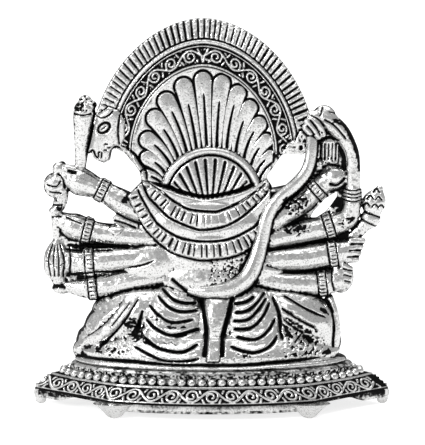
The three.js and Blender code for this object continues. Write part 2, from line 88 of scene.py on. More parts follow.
def step(x, low, high):
    """A smooth rise from 0 at low to 1 at high."""
    t = np.clip((x - low) / (high - low), 0, 1)
    return t * t * (3 - 2 * t)


def bump(x, middle, width):
    return np.exp(-(((x - middle) / width) ** 2))


def combed(phase, width):
    """Bars with a narrow groove between each two: 0 in a groove, 1 on a bar."""
    off = np.abs(phase - np.round(phase))
    return 1 - np.exp(-((off / width) ** 2))


class Relief:
    """Heights over a patch of the X-Z plane, built up and cut by strokes."""

    def __init__(self, low, high, cell=0.1):
        self.low, self.cell = low, cell
        self.x, self.z = np.meshgrid(np.arange(low[0], high[0], cell), np.arange(low[1], high[1], cell))
        self.base = np.zeros_like(self.x)
        self.rise = np.zeros_like(self.x)
        self.cut = np.zeros_like(self.x)
        # Black laid over the carving: stains, and painted shade.
        self.soil_and_shade = np.zeros_like(self.x)

    def near(self, points, margin):
        """The cells round a polyline: where they are, and their distance, share of its length and side."""
        p = np.asarray(points, float)
        i0, j0 = (np.maximum(0, (p.min(0) - margin - self.low) / self.cell)).astype(int)
        i1, j1 = (np.maximum(0, (p.max(0) + margin - self.low) / self.cell)).astype(int) + 2
        win = (slice(j0, j1), slice(i0, i1))
        x, z = self.x[win], self.z[win]
        best, share, side = np.full(x.shape, 1e9), np.zeros(x.shape), np.zeros(x.shape)
        runs = np.hypot(*np.diff(p, axis=0).T)
        total, gone = max(runs.sum(), 1e-9), 0.0
        for (ax, az), (bx, bz), run in zip(p, p[1:], runs):
            dx, dz = (bx - ax) / max(run, 1e-9), (bz - az) / max(run, 1e-9)
            t = np.clip((x - ax) * dx + (z - az) * dz, 0, run)
            d = np.hypot(x - ax - t * dx, z - az - t * dz)
            closer = d < best
            best = np.where(closer, d, best)
            share = np.where(closer, (gone + t) / total, share)
            side = np.where(closer, np.sign(dx * (z - az) - dz * (x - ax)), side)
            gone += run
        return win, best, share, side

    def groove(self, points, depth=0.35, width=0.26, taper=0.12, curved=True):
        win, d, s, _ = self.near(smooth(points) if curved else points, 3 * width)
        ends = step(np.minimum(s, 1 - s), -0.001, taper) if taper else 1
        self.cut[win] = np.maximum(self.cut[win], depth * ends * np.exp(-((d / width) ** 2)))

    def grooves(self, *strokes, taper=0.12):
        """Several grooves, each as (depth, width, points)."""
        for depth, width, points in strokes:
            self.groove(points, depth, width, taper)

    def ridge(self, points, height=0.4, width=0.3, taper=0.0, curved=True):
        win, d, s, _ = self.near(smooth(points) if curved else points, 2.2 * width)
        ends = step(np.minimum(s, 1 - s), -0.001, taper) if taper else 1
        round_top = np.sqrt(np.clip(1 - (d / (1.6 * width)) ** 2, 0, 1))
        self.rise[win] = np.maximum(self.rise[win], height * ends * round_top)

    def fold(self, points, depth=0.55, width=0.3, roll=0.3, reach=0.9):
        """A groove under a rounded roll of cloth; the roll lies on the stroke's left."""
        win, d, s, side = self.near(smooth(points), 2.5 * reach)
        ends = step(np.minimum(s, 1 - s), -0.001, 0.12)
        self.cut[win] = np.maximum(self.cut[win], depth * ends * np.exp(-((d / width) ** 2)))
        lift = roll * ends * np.exp(-(((d - 0.75 * reach) / (0.6 * reach)) ** 2)) * (side > 0)
        self.rise[win] = np.maximum(self.rise[win], lift)

    def stain_and_shade(self, spots, seed, strength=1.2):
        """Ragged black patches, for stains and painted shade: (x, z, half width, half height, turn in
        degrees).
        """
        ragged = rough(self.x + 50, self.z, 1.1, 0.4, 0.9, seed)
        for spot_x, spot_z, wide, high, turn in spots:
            c, s = math.cos(math.radians(turn)), math.sin(math.radians(turn))
            x, z = self.x - spot_x, self.z - spot_z
            u, v = x * c + z * s, z * c - x * s
            near = np.exp(-((u / wide) ** 2) - (v / high) ** 2)
            self.soil_and_shade = np.maximum(self.soil_and_shade, strength * step(near + 0.3 * ragged, 0.4, 0.85))

    def shade_streak(self, points, width, seed):
        """Painted shade: a black streak with ragged edges along a stroke."""
        win, d, s, _ = self.near(smooth(points), 4 * width)
        ragged = rough(self.x[win] + 50, self.z[win], 0.8, 0.35, 0.8, seed)
        ends = step(np.minimum(s, 1 - s), -0.001, 0.15)
        streak = ends * np.exp(-((d / width) ** 2)) + 0.3 * ragged
        self.soil_and_shade[win] = np.maximum(self.soil_and_shade[win], 1.2 * step(streak, 0.35, 0.75))

    def inside(self, outline):
        """Distance inside a closed outline, 0 outside it."""
        p = np.vstack([outline, outline[:1]])
        win, d, _, _ = self.near(p, 0.5)
        x, z = self.x[win], self.z[win]
        odd = np.zeros(x.shape, bool)
        for (ax, az), (bx, bz) in zip(p, p[1:]):
            if az == bz:
                continue
            odd ^= ((az > z) != (bz > z)) & (x < (bx - ax) * (z - az) / (bz - az) + ax)
        return win, np.where(odd, d, 0)

    def pad(self, outline, height, edge):
        """A cushion with rounded edges inside an outline."""
        win, d = self.inside(np.asarray(outline, float))
        t = np.clip(d / edge, 0, 1)
        self.rise[win] = np.maximum(self.rise[win], height * np.sqrt(np.clip(1 - (1 - t) ** 2, 0, 1)))

    def height(self):
        return self.base + self.rise - self.cut

    def at(self, x, z):
        return sample(self.height(), (x - self.low[0]) / self.cell, (z - self.low[1]) / self.cell)

    def shade(self, x, z):
        """How far a point lies below what is round it: negative on crests, about 1 in a groove."""
        height = self.height()
        fine = (blur(height, 0.3 / self.cell) - height) / 0.15
        broad = (blur(height, 0.9 / self.cell) - height) / 0.6
        # The stains and the painted shade are added on top of the depth.
        grid = np.clip(fine, -0.5, 1.1) + 0.5 * np.clip(broad, -0.4, 1) + self.soil_and_shade
        return sample(grid, (x - self.low[0]) / self.cell, (z - self.low[1]) / self.cell)


def sample(grid, u, v):
    """A grid's values between its points, at column u and row v."""
    u = np.clip(u, 0, grid.shape[1] - 1.001)
    v = np.clip(v, 0, grid.shape[0] - 1.001)
    i, j = u.astype(int), v.astype(int)
    a, b = u - i, v - j
    low = grid[j, i] * (1 - a) + grid[j, i + 1] * a
    high = grid[j + 1, i] * (1 - a) + grid[j + 1, i + 1] * a
    return low * (1 - b) + high * b


def speckle(x, z, size, seed):
    """Even-tempered noise from -1 to 1, the same at every run."""
    rng = np.random.default_rng(seed)
    grid = rng.uniform(-1, 1, (160, 160))
    return sample(grid, (x / size) % 158, (z / size) % 158)


def rough(x, z, coarse, fine, weight, seed):
    """Noise at two sizes."""
    return speckle(x, z, coarse, seed) + weight * speckle(x, z, fine, seed + 1)


def patches(relief, spots):
    """Soft round patches, 0 to 1, each as (x, z, half width, half height)."""
    total = sum(
        np.exp(-(((relief.x - x) / wide) ** 2 + ((relief.z - z) / high) ** 2)) for x, z, wide, high in spots
    )
    return np.clip(total, 0, 1)


# The vine swings by its crest to both sides, and each bay holds a spiral, as (half turns, radius)
VINE_CREST = 1.28
SPIRAL = np.array([(-0.2, 1.45), (0, 1.22), (0.5, 1.08), (1, 0.98), (1.5, 0.74), (2, 0.46), (2.35, 0.3)])


def scroll(place, stroke, count, pitch, start, mirror=1):
    """A running vine: place takes (run, across) points to the relief and stroke draws them there."""
    turns = np.linspace(SPIRAL[0, 0] * math.pi, SPIRAL[-1, 0] * math.pi, 36)
    radii = np.interp(turns / math.pi, SPIRAL[:, 0], SPIRAL[:, 1])
    for k in range(count):
        middle = start + k * pitch
        flip = 1 if k % 2 else -1
        wave = [
            (middle + t * pitch, -flip * VINE_CREST * math.cos(math.pi * t))
            for t in np.linspace(-0.5, 0.5, 14)
        ]
        spiral = [(middle + r * math.cos(t), flip * (0.12 + r * math.sin(t))) for t, r in zip(turns, radii)]
        leaves = [
            [
                (middle + (0.5 + side * 0.13) * pitch, -flip * side * 1.4),
                (middle + (0.5 + side * 0.05) * pitch, -flip * side * 0.7),
            ]
            for side in (-1, 1)
        ]
        for points in (wave, spiral, *leaves):
            stroke(place(np.array(points) * [mirror, 1]))


def run_of(x, y):
    """The distance run along a flat curve at each of its points."""
    return np.concatenate([[0], np.cumsum(np.hypot(np.diff(x), np.diff(y)))])


# Blocking out


def deselect():
    bpy.ops.object.select_all(action="DESELECT")


def select(*pieces):
    deselect()
    for piece in pieces:
        piece.select_set(True)
    bpy.context.view_layer.objects.active = pieces[0]


def egg(at, half, turn=(0, 0, 0), segments=32):
    """An ellipsoid at a place, with its half sizes and turns in degrees."""
    deselect()
    bpy.ops.mesh.primitive_uv_sphere_add(segments=segments, ring_count=segments // 2, radius=1, location=at)
    piece = bpy.context.object
    piece.scale = half
    piece.rotation_euler = [math.radians(a) for a in turn]
    bpy.ops.object.transform_apply(location=True, rotation=True, scale=True)
    return piece


def round_end(end, inner):
    """Stations that round off a limb, from its tip inwards."""
    out = end[:3] - inner[:3]
    out /= np.linalg.norm(out)
    return [
        [*(end[:3] + out * end[3] * math.sin(a)), max(end[3] * math.cos(a), 0.02)]
        for a in (1.55, 1.2, 0.8, 0.4)
    ]


def limb(stations, flat=1.0, blunt=False):
    """A limb through stations (x, y, z, radius), with round ends unless blunt; flat scales its depth."""
    p = smooth(stations, 6)
    if not blunt:
        p = np.vstack([round_end(p[0], p[1]), p, round_end(p[-1], p[-2])[::-1]])
    deselect()
    bpy.ops.curve.primitive_nurbs_path_add()
    path = bpy.context.object
    spline = path.data.splines[0]
    spline.type = "POLY"
    spline.points.add(len(p) - len(spline.points))
    for point, (x, y, z, r) in zip(spline.points, p):
        point.co = (x, y, z, 1)
        point.radius = r
    path.data.bevel_depth = 1
    path.data.bevel_resolution = 5
    path.data.use_fill_caps = True
    path.data.twist_mode = "MINIMUM"
    bpy.ops.object.convert(target="MESH")
    piece = bpy.context.object
    flatten(piece, p[:, 1].mean(), flat)
    return piece


def flatten(piece, middle, flat):
    """Scales a piece's depth about a middle."""
    if flat != 1.0:
        co = read(piece)
        co[:, 1] = middle + (co[:, 1] - middle) * flat
        write(piece, co)


def along(path, share):
    """A limb's smoothed stations, the distance run at each, and the distance at a share of its length."""
    p = smooth(path, 16)
    run = np.concatenate([[0], np.cumsum(np.linalg.norm(np.diff(p[:, :3], axis=0), axis=1))])
    return p, run, share * run[-1]


# A bangle's cross-section: (share of its width, share of its rise)
CUFF = ((-0.5, 0.1), (-0.46, 1), (0, 0.86), (0.46, 1), (0.5, 0.1))


def cuff(path, share, width, rise=0.5):
    """A bangle: a short raised ring round a limb."""
    p, run, want = along(path, share)
    ring = []
    for off, lift in CUFF:
        x, y, z, radius = (np.interp(want + off * width, run, p[:, k]) for k in range(4))
        ring.append([x, y, z, radius + rise * lift])
    return limb(ring, blunt=True)


def slab(outline, back, front):
    """A flat plate with an outline in X-Z."""
    deselect()
    bpy.ops.mesh.primitive_circle_add(vertices=len(outline), radius=1, fill_type="NGON")
    piece = bpy.context.object
    write(piece, np.array([[x, back, z] for x, z in outline]))
    bpy.ops.object.mode_set(mode="EDIT")
    bpy.ops.mesh.select_all(action="SELECT")
    bpy.ops.mesh.extrude_region_move(TRANSFORM_OT_translate={"value": (0, front - back, 0)})
    bpy.ops.mesh.select_all(action="SELECT")
    bpy.ops.mesh.normals_make_consistent(inside=False)
    bpy.ops.object.mode_set(mode="OBJECT")
    return piece


def copies(piece, places):
    """The piece and its copies, each with a mesh of its own, moved to their places."""
    shape, out = read(piece), [piece]
    for _ in places[1:]:
        select(piece)
        bpy.ops.object.duplicate()
        out.append(bpy.context.object)
    for twin, place in zip(out, places):
        write(twin, shape + np.asarray(place, float))
    return out


def read(piece):
    co = np.empty(len(piece.data.vertices) * 3)
    piece.data.vertices.foreach_get("co", co)
    return co.reshape(-1, 3)


def write(piece, co):
    piece.data.vertices.foreach_set("co", np.asarray(co, float).ravel())
    piece.data.update()


def normals(piece):
    n = np.empty(len(piece.data.vertices) * 3)
    piece.data.vertices.foreach_get("normal", n)
    return n.reshape(-1, 3)


def mark(piece, depths):
    """Stores how black each vertex is."""
    attribute = piece.data.attributes.new("tarnish", "FLOAT", "POINT")
    attribute.data.foreach_set("value", depths.astype(np.float32))


def fuse(parts, name, voxel, relax=0):
    """Joins the blocked-out parts into one skin of even faces."""
    select(*parts)
    if len(parts) > 1:
        bpy.ops.object.join()
    piece = bpy.context.object
    piece.name = piece.data.name = name
    bpy.ops.object.modifier_add(type="REMESH")
    remesh = piece.modifiers[-1]
    remesh.mode = "VOXEL"
    remesh.voxel_size = voxel
    bpy.ops.object.modifier_apply(modifier=remesh.name)
    if relax:
        bpy.ops.object.modifier_add(type="SMOOTH")
        ease = piece.modifiers[-1]
        ease.factor, ease.iterations = 0.5, relax
        bpy.ops.object.modifier_apply(modifier=ease.name)
    return piece


# What the tarnish needs to know of the figure's pieces: their full skins and their reliefs
SKINS = []
CARVINGS = {}


def emboss(piece, back=None, front=None):
    """Lifts the faces that look back, or forward, by a relief's heights."""
    co, n = read(piece), normals(piece)
    for relief, sign in ((back, -1), (front, 1)):
        if relief is not None:
            facing = step(sign * n[:, 1], 0.15, 0.5)
            co[:, 1] += sign * facing * relief.at(co[:, 0], co[:, 2])
    write(piece, co)
    CARVINGS[piece.name] = (back, front)
    SKINS.append(co)


def thin(piece, triangles):
    """Brings a dense skin down to a number of triangles, keeping them where the carving is."""
    piece.data.calc_loop_triangles()
    have = len(piece.data.loop_triangles)
    if have <= triangles:
        return
    select(piece)
    bpy.ops.object.modifier_add(type="DECIMATE")
    fewer = piece.modifiers[-1]
    fewer.ratio = triangles / have
    bpy.ops.object.modifier_apply(modifier=fewer.name)


def complete(piece, node, material):
    """Scales a finished piece to metres, hangs it under the root and hides its node's part."""
    select(piece)
    write(piece, read(piece) * MM)
    bpy.ops.object.shade_smooth()
    piece.data.materials.clear()
    piece.data.materials.append(material)
    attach(piece, "root")
    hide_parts(node)


# Halo, outer head and shoulder


# The inner edges of the halo's rim, ridge, wire and vine, and the lotus's outer edge, as shares
RIM_IN, RIDGE_IN, WIRE_IN, SCROLL_IN, LOTUS_OUT = 0.853, 0.805, 0.786, 0.664, 0.618
HALO_PATCH = ((-28, 40), (24, 87.5))
VINE_SPIRALS, VINE_PITCH = 8, 4.5

# The petals' round tips, from the leftmost on: (x, z, half width)
PETALS = [
    (-14.4, 51.9, 1.4), (-14.1, 55.7, 1.75), (-14.0, 59.7, 1.95), (-12.4, 64.5, 2.0), (-9.9, 68.3, 2.03),
    (-6.1, 71.5, 2.0), (-1.9, 72.9, 1.95), (2.2, 72.2, 1.93), (5.7, 70.0, 1.88), (8.3, 66.8, 1.85),
    (10.4, 63.2, 1.8), (12.0, 59.6, 1.65), (12.9, 56.2, 1.45),
]
# Their feet stand on the hair's ring: its radius there, the middle one's angle and the step to the next
PETAL_FOOT, FOOT_ANGLE, FOOT_STEP = 10.4, 94.5, 12
PETAL_FOOT_HALF, PETAL_BEND = 0.88, 0.036

# The outer head's outline, the shoulder of metal at the other end, and its cushion
HORSE = [
    (-25.3, 65.5), (-26.1, 61.9), (-27.4, 56.4), (-26.6, 57.0), (-26.1, 55.7), (-25.2, 55.2),
    (-23.8, 54.6), (-22.5, 55.2), (-22.1, 57.3), (-21.3, 58.2), (-20.2, 58.0), (-19, 60), (-19, 64),
    (-20.4, 66.6), (-22.6, 67.4),
]
SHOULDER = [
    (15.5, 56.4), (16.6, 56.7), (18.6, 56.7), (19.7, 56.4), (21, 57), (21.9, 59), (21.6, 63),
    (20.9, 66), (18, 66),
]
SHOULDER_CUSHION = [
    (15.2, 56), (16.6, 56.3), (18.6, 56.3), (20.3, 55.6), (22, 58), (21.9, 63), (19.6, 62.4),
    (18.2, 60), (16.6, 59.2),
]
# The plate's edge round the gap under the horse's head, and round the gap at the other end
LEFT_GAP = [
    (-20.6, 57.6), (-18.9, 56.6), (-17.9, 55.2), (-16.9, 54.1), (-15.9, 52.6), (-15.6, 50.6),
    (-16.2, 47), (-16, 45),
]
RIGHT_GAP = [(12, 45), (13.4, 49.4), (12.3, 51), (12.3, 51.9), (13.6, 53.6), (15.5, 56.4)]
LEFT_GAP_LINE = [(-20.8, 58.1), (-19.3, 57.5), (-17.6, 56), (-16.4, 54.4), (-15.3, 52.6), (-15, 50.8)]


class HaloShape:
    """The halo's superellipses, named by their share of the outer edge."""

    def __init__(self, sizes):
        self.half, self.high = sizes.halo_half_width / MM, sizes.halo_rise / MM
        self.turn = np.linspace(-0.3, math.pi + 0.3, 900)
        run = run_of(*self.point(1.0, self.turn).T)
        self.run = run - np.interp(math.pi / 2, self.turn, run)

    def point(self, share, turn):
        c, s = np.cos(turn), np.sin(turn)
        k = 2 / HALO_POWER
        x = HALO_X + share * self.half * np.sign(c) * np.abs(c) ** k
        z = HALO_Z + share * self.high * np.sign(s) * np.abs(s) ** k
        return np.stack([x, z], -1)

    def arc(self, share, low, high, count=80):
        return self.point(share, np.radians(np.linspace(low, high, count)))

    def shares(self, x, z):
        """Share of the edge and run along it, counted left from the top."""
        u, v = (x - HALO_X) / self.half, (z - HALO_Z) / self.high
        share = (np.abs(u) ** HALO_POWER + np.abs(v) ** HALO_POWER) ** (1 / HALO_POWER)
        k = HALO_POWER / 2
        a = np.abs(u / np.maximum(share, 1e-6)) ** k * np.sign(u)
        b = np.abs(v / np.maximum(share, 1e-6)) ** k * np.sign(v)
        return share, np.interp(np.arctan2(b, a), self.turn, self.run)

    def band(self, share, deep):
        """Takes (run, across) points of a band to the X-Z plane."""

        def place(points):
            turn = np.interp(points[:, 0] / share, self.run, self.turn)
            return np.array([self.point(share + n / deep, t) for t, n in zip(turn, points[:, 1])])

        return place


def half_round(share, low, high):
    """A round moulding between two shares of the edge, 1 high."""
    middle, half = (low + high) / 2, (high - low) / 2
    return np.sqrt(np.clip(1 - ((share - middle) / half) ** 2, 0, 1))


def halo_vine(shape, relief, height, width, start, crown=()):
    """The vine down both sides of the halo, and the stroke that joins the two at its crown."""
    place = shape.band((WIRE_IN + SCROLL_IN) / 2, shape.high)

    def stroke(points):
        relief.ridge(points, height, width, curved=False)

    for mirror in (1, -1):
        scroll(place, stroke, VINE_SPIRALS, VINE_PITCH, start, mirror)
        if crown:
            stroke(place(np.array(crown) * [mirror, 1]))


def lotus(relief, shape, sizes):
    """The lotus petals: bent outwards, round tipped, outlined, each with a long groove along its middle."""
    x, z = relief.x, relief.z
    best = np.full(x.shape, -9.0)
    middle = len(PETALS) // 2
    t = np.linspace(0, 1, 14)[:, None]
    for i, (tip_x, tip_z, broad) in enumerate(PETALS, -middle):
        if abs(i) > sizes.petals_each_side:
            continue
        turn = math.radians(FOOT_ANGLE - FOOT_STEP * i)
        foot = np.array(FAN) + PETAL_FOOT * np.array([math.cos(turn), math.sin(turn)])
        tip = np.array([tip_x, tip_z])
        run = tip - foot
        bend = foot + 0.5 * run + PETAL_BEND * i * np.array([-run[1], run[0]])
        axis = foot * (1 - t) ** 2 + 2 * bend * t * (1 - t) + tip * t**2
        win, off, share, _ = relief.near(axis, broad + 1)
        half = PETAL_FOOT_HALF + (broad - PETAL_FOOT_HALF) * share**0.75
        best[win] = np.maximum(best[win], half - off)
        win, off, share, _ = relief.near(axis[: 11 if i % 2 else 12], 1.2)
        width = 0.31 - 0.16 * share
        groove = 0.9 * step(share, 1.0, 0.88) * np.exp(-((off / width) ** 2))
        relief.cut[win] = np.maximum(relief.cut[win], groove)
    petals = 0.85 * np.sqrt(np.clip(1 - (1 - np.clip(best / 0.35, 0, 1)) ** 2, 0, 1))
    ground = 0.6 * step(-best, 0.25, 0.5)
    field = (shape.shares(x, z)[0] < LOTUS_OUT + 0.004) & (np.hypot(x - FAN[0], z - FAN[1]) > FAN_OUTER)
    relief.base += np.where(field, np.maximum(petals, ground) - 0.3, 0)


def hair(relief):
    """The hair's ring and, inside it, its dome with rays that spread from the neck."""
    x, z = relief.x, relief.z
    r = np.hypot(x - FAN[0], z - FAN[1])
    above = z > FAN[1] - 3
    within = above & (r < FAN_OUTER + 0.1)
    inner = above & (r < FAN_INNER - 0.3)
    relief.cut[within] = 0
    relief.rise[within] = 0
    middle = (FAN_OUTER + FAN_INNER) / 2
    ring = np.sqrt(np.clip(1 - ((r - middle) / (FAN_OUTER - middle)) ** 2, 0, 1))
    dome = 1.55 * np.sqrt(np.clip(1 - (r / 11.5) ** 2, 0, 1))
    turn = np.degrees(np.arctan2(z - FAN_FOCUS[1], x - FAN_FOCUS[0]))
    rays = combed((turn - 90) / 8.6 + 0.5, 0.165)
    rays = np.where(np.abs(turn - 90) > 68, 1, rays)
    notch = (1 - rays) * step(r, 9.3, 8.7) * 0.75
    relief.base += np.where(within, 1.3 * ring, 0)
    relief.base += np.where(inner, dome - notch, 0)
    relief.soil_and_shade -= np.where(inner, 0.3, 0)


def halo_back(sizes):
    shape = HaloShape(sizes)
    relief = Relief(*HALO_PATCH, FINE_CELL)
    x, z = relief.x, relief.z
    share, run = shape.shares(x, z)
    upper = z > HALO_Z - 1
    wander = 0.3 * speckle(run + 60, 0 * run, 3.1, 31)
    worn = np.clip(0.75 + 0.6 * speckle(run + 60, 0 * run, 5.3, 32), 0.25, 1.2)
    flute = combed(run / sizes.flute_pitch * MM + wander, 0.18)
    fluted = step(z, 63.4, 64.6)
    grain = rough(x + 40, z, 0.45, 0.28, 0.6, 33)
    rim = 0.8 - 0.6 * worn * (1 - flute) * fluted + 0.2 * step(share, 0.9, 0.86)
    rim -= 0.5 * step(share, 0.985, 1.004) + 0.1 * np.clip(grain, 0, 2)
    relief.base += np.where((share > RIM_IN) & upper, rim, 0)
    low_end = step(z, 56.4, 57.6)
    relief.base += (1.1 - 0.12 * np.clip(grain, 0, 2)) * (half_round(share, RIDGE_IN, RIM_IN - 0.006) * upper)
    relief.base += 0.75 * (half_round(share, WIRE_IN, RIDGE_IN - 0.008) * upper)
    relief.base += 0.75 * (half_round(share, LOTUS_OUT + 0.022, SCROLL_IN - 0.006) * upper) * low_end
    relief.base += 0.55 * (half_round(share, LOTUS_OUT + 0.002, LOTUS_OUT + 0.018) * upper) * low_end
    ground = (share > SCROLL_IN) & (share < WIRE_IN) & upper
    relief.base += np.where(ground, 0.3 * np.clip(grain - 0.1, 0, 1), 0)
    relief.soil_and_shade -= np.where(ground, 0.9 * np.clip(speckle(x + 40, z, 0.7, 38) + 0.2, 0, 0.6), 0)
    halo_vine(shape, relief, 0.66, 0.17, 2.9, crown=[(0.1, -1.5), (0.3, -0.1), (1.1, 1.4)])
    lotus(relief, shape, sizes)
    hair(relief)
    return shape, relief


def halo_front(sizes):
    shape = HaloShape(sizes)
    relief = Relief(*HALO_PATCH, COARSE_CELL)
    share, run = shape.shares(relief.x, relief.z)
    upper = relief.z > HALO_Z - 1
    flute = combed(run / sizes.flute_pitch * MM, 0.2) * step(relief.z, 63.4, 64.6)
    relief.base += np.where((share > RIM_IN) & upper, 0.2 + 0.45 * flute, 0)
    for low, high, rise in ((RIDGE_IN, RIM_IN, 0.8), (LOTUS_OUT, SCROLL_IN, 0.7)):
        relief.base += rise * half_round(share, low, high) * upper
    halo_vine(shape, relief, 0.6, 0.18, 2.4)
    turn = np.arctan2(relief.z - 50, relief.x - HALO_X)
    rays = combed(turn / math.radians(6), 0.16)
    relief.base += np.where(share < LOTUS_OUT - 0.01, 0.35 * rays, 0)
    return relief


def horse_head(relief):
    """The outer head's eye, nostril, mouth, cheek and mane."""
    turns = np.linspace(0, 2 * math.pi, 20)
    lean = math.radians(35)
    c, s = math.cos(lean), math.sin(lean)
    u, w = 1.45 * np.cos(turns), 0.95 * np.sin(turns)
    eye = np.stack([-23.7 + u * c - w * s, 62.5 + u * s + w * c], 1)
    relief.groove(eye, 0.7, 0.28, taper=0, curved=False)
    relief.groove([(-24.1, 62.2), (-23.3, 62.8)], 0.4, 0.2, taper=0)
    for x, z in ((-23.2, 58.9), (-22.6, 58.1), (-23.4, 57.6)):
        relief.groove([(x - 0.25, z), (x + 0.25, z)], 0.4, 0.22, taper=0)
    relief.grooves(
        (0.7, 0.26, [(-27.4, 56.6), (-26.2, 57.5), (-25.6, 56.3), (-25.0, 55.9), (-24.8, 57), (-24.2, 57.3)]),
        (0.6, 0.24, [(-24.2, 57.3), (-24.4, 55.6)]),
        (0.5, 0.22, [(-25.4, 65.3), (-24.2, 64.7), (-22.6, 65.3), (-21.4, 66.6)]),
        (0.6, 0.28, [(-20.1, 66), (-20.6, 62), (-20.3, 58.2)]),
        (0.5, 0.3, [(-22.2, 57.4), (-21.3, 58.2), (-20.2, 58.0), (-19.0, 56.9), (-17.9, 55.3)]),
    )


def build_halo(sizes):
    shape, back = halo_back(sizes)
    outline = np.vstack([
        shape.arc(1.0, 13.5, 166.5, 120),
        shape.arc(0.856, 167.5, 177, 8),
        LEFT_GAP,
        RIGHT_GAP,
        shape.arc(0.856, 3, 12.5, 8),
    ])
    parts = [slab(outline, PLATE_BACK, PLATE_FRONT), slab(HORSE, -0.9, 1.2), slab(SHOULDER, -0.9, 1.2)]
    piece = fuse(parts, "halo", voxel=0.145)
    # The outer head and the smooth shoulder at the other end take the place of the bands
    heads = Relief(*HALO_PATCH, FINE_CELL)
    heads.pad(HORSE, 1.5, 1.7)
    heads.pad(SHOULDER_CUSHION, 0.6, 0.8)
    covered = heads.rise > 0.02
    bare = 1 - step(heads.rise, 0.0, 0.4)
    back.base = np.where(covered, back.base * bare, back.base)
    back.rise = np.where(covered, np.maximum(back.rise * bare, heads.rise), back.rise)
    worn = step(back.x, 14.6, 15.6) * step(back.z, 63, 61)
    back.base -= 0.2 * worn * np.clip(rough(back.x, back.z, 0.5, 0.28, 0.5, 36), -0.2, 2)
    horse_head(back)
    back.groove([(19.7, 58.7), (19.8, 57.4)], 0.7, 0.34, taper=0.3)
    back.groove([(15.8, 57.2), (16.6, 59.2), (18.2, 60.2), (19.6, 62.6)], 0.5, 0.22)
    back.ridge(LEFT_GAP_LINE, 0.9, 0.4)
    back.groove([(x + 0.7, z + 0.5) for x, z in LEFT_GAP_LINE], 0.5, 0.22)
    back.groove([(x, z + 0.25) for x, z in COLLAR_LINES[0][1:-1]], 1.4, 0.34)
    emboss(piece, back, halo_front(sizes))
    return piece


# Torso, collars and front heads


# The collar's dark lines, from the top one down, each from left to right
COLLAR_LINES = [
    [(-14.2, 51.4), (-13.2, 50.4), (-11.8, 49.66), (-9.1, 49.0), (-6.9, 48.1), (-2.5, 47.1), (-0.3, 47.1),
     (3, 47.65), (6.3, 48.5), (10, 50.1), (12, 51.4)],
    [(-14.6, 51.2), (-13.5, 50.2), (-11.3, 48.7), (-9.1, 46.8), (-6.9, 45.4), (-4.7, 44.5), (-0.3, 44.1),
     (1.9, 44.3), (6.3, 46.1), (10.2, 48.8), (12.2, 50.6)],
    [(-15.2, 50.2), (-14, 47.4), (-12.4, 45.65), (-10.2, 43.4), (-8, 42.1), (-3.6, 40.4), (-1.4, 40.2),
     (3, 41), (7.4, 43.4), (11.3, 47.2), (12.6, 49)],
    [(-16.4, 49.2), (-15.7, 47.4), (-14.6, 45.4), (-13.1, 42.8), (-11.3, 40.8), (-6.9, 38.3), (-1.4, 37.6),
     (4.1, 38.1), (8.5, 40.1), (10.2, 41.2), (13, 44)],
    [(-18.6, 47.4), (-17.9, 45.6), (-15.7, 41.6), (-13.1, 38.3), (-9.1, 35.2), (-4.7, 33.9), (-1.4, 33.5),
     (5.2, 34.3), (9.6, 36.5), (12.4, 39.4)],
]
# The lines' depths and widths, and between each two the band's rise and the pitch of its bars
COLLAR_CUTS = ((0.9, 0.36), (0.6, 0.26), (0.55, 0.26), (0.5, 0.24), (0.55, 0.26))
COLLAR_BANDS = ((0.5, 0), (0.85, 1.5), (0.6, 0), (1.1, 1.42))
WORN_BAND = 1

# The front heads as (x, y and z of the crown's foot, its radius and height, half the distance of the eyes)
HEADS = (
    (-0.9, 5.2, 56.6, 5.4, 14, 2.4),
    (-9.6, 3.2, 57, 3.9, 9, 1.7),
    (7.6, 3.2, 56.8, 3.8, 9, 1.7),
)
# A crown's tiers: (share of its height, share of its radius)
TIERS = (
    (0, 1), (0.06, 1.05), (0.2, 1.05), (0.26, 0.92), (0.42, 0.9), (0.46, 0.74), (0.56, 0.62), (0.6, 0.5),
    (0.78, 0.46), (0.84, 0.3), (0.94, 0.14), (0.99, 0.05),
)


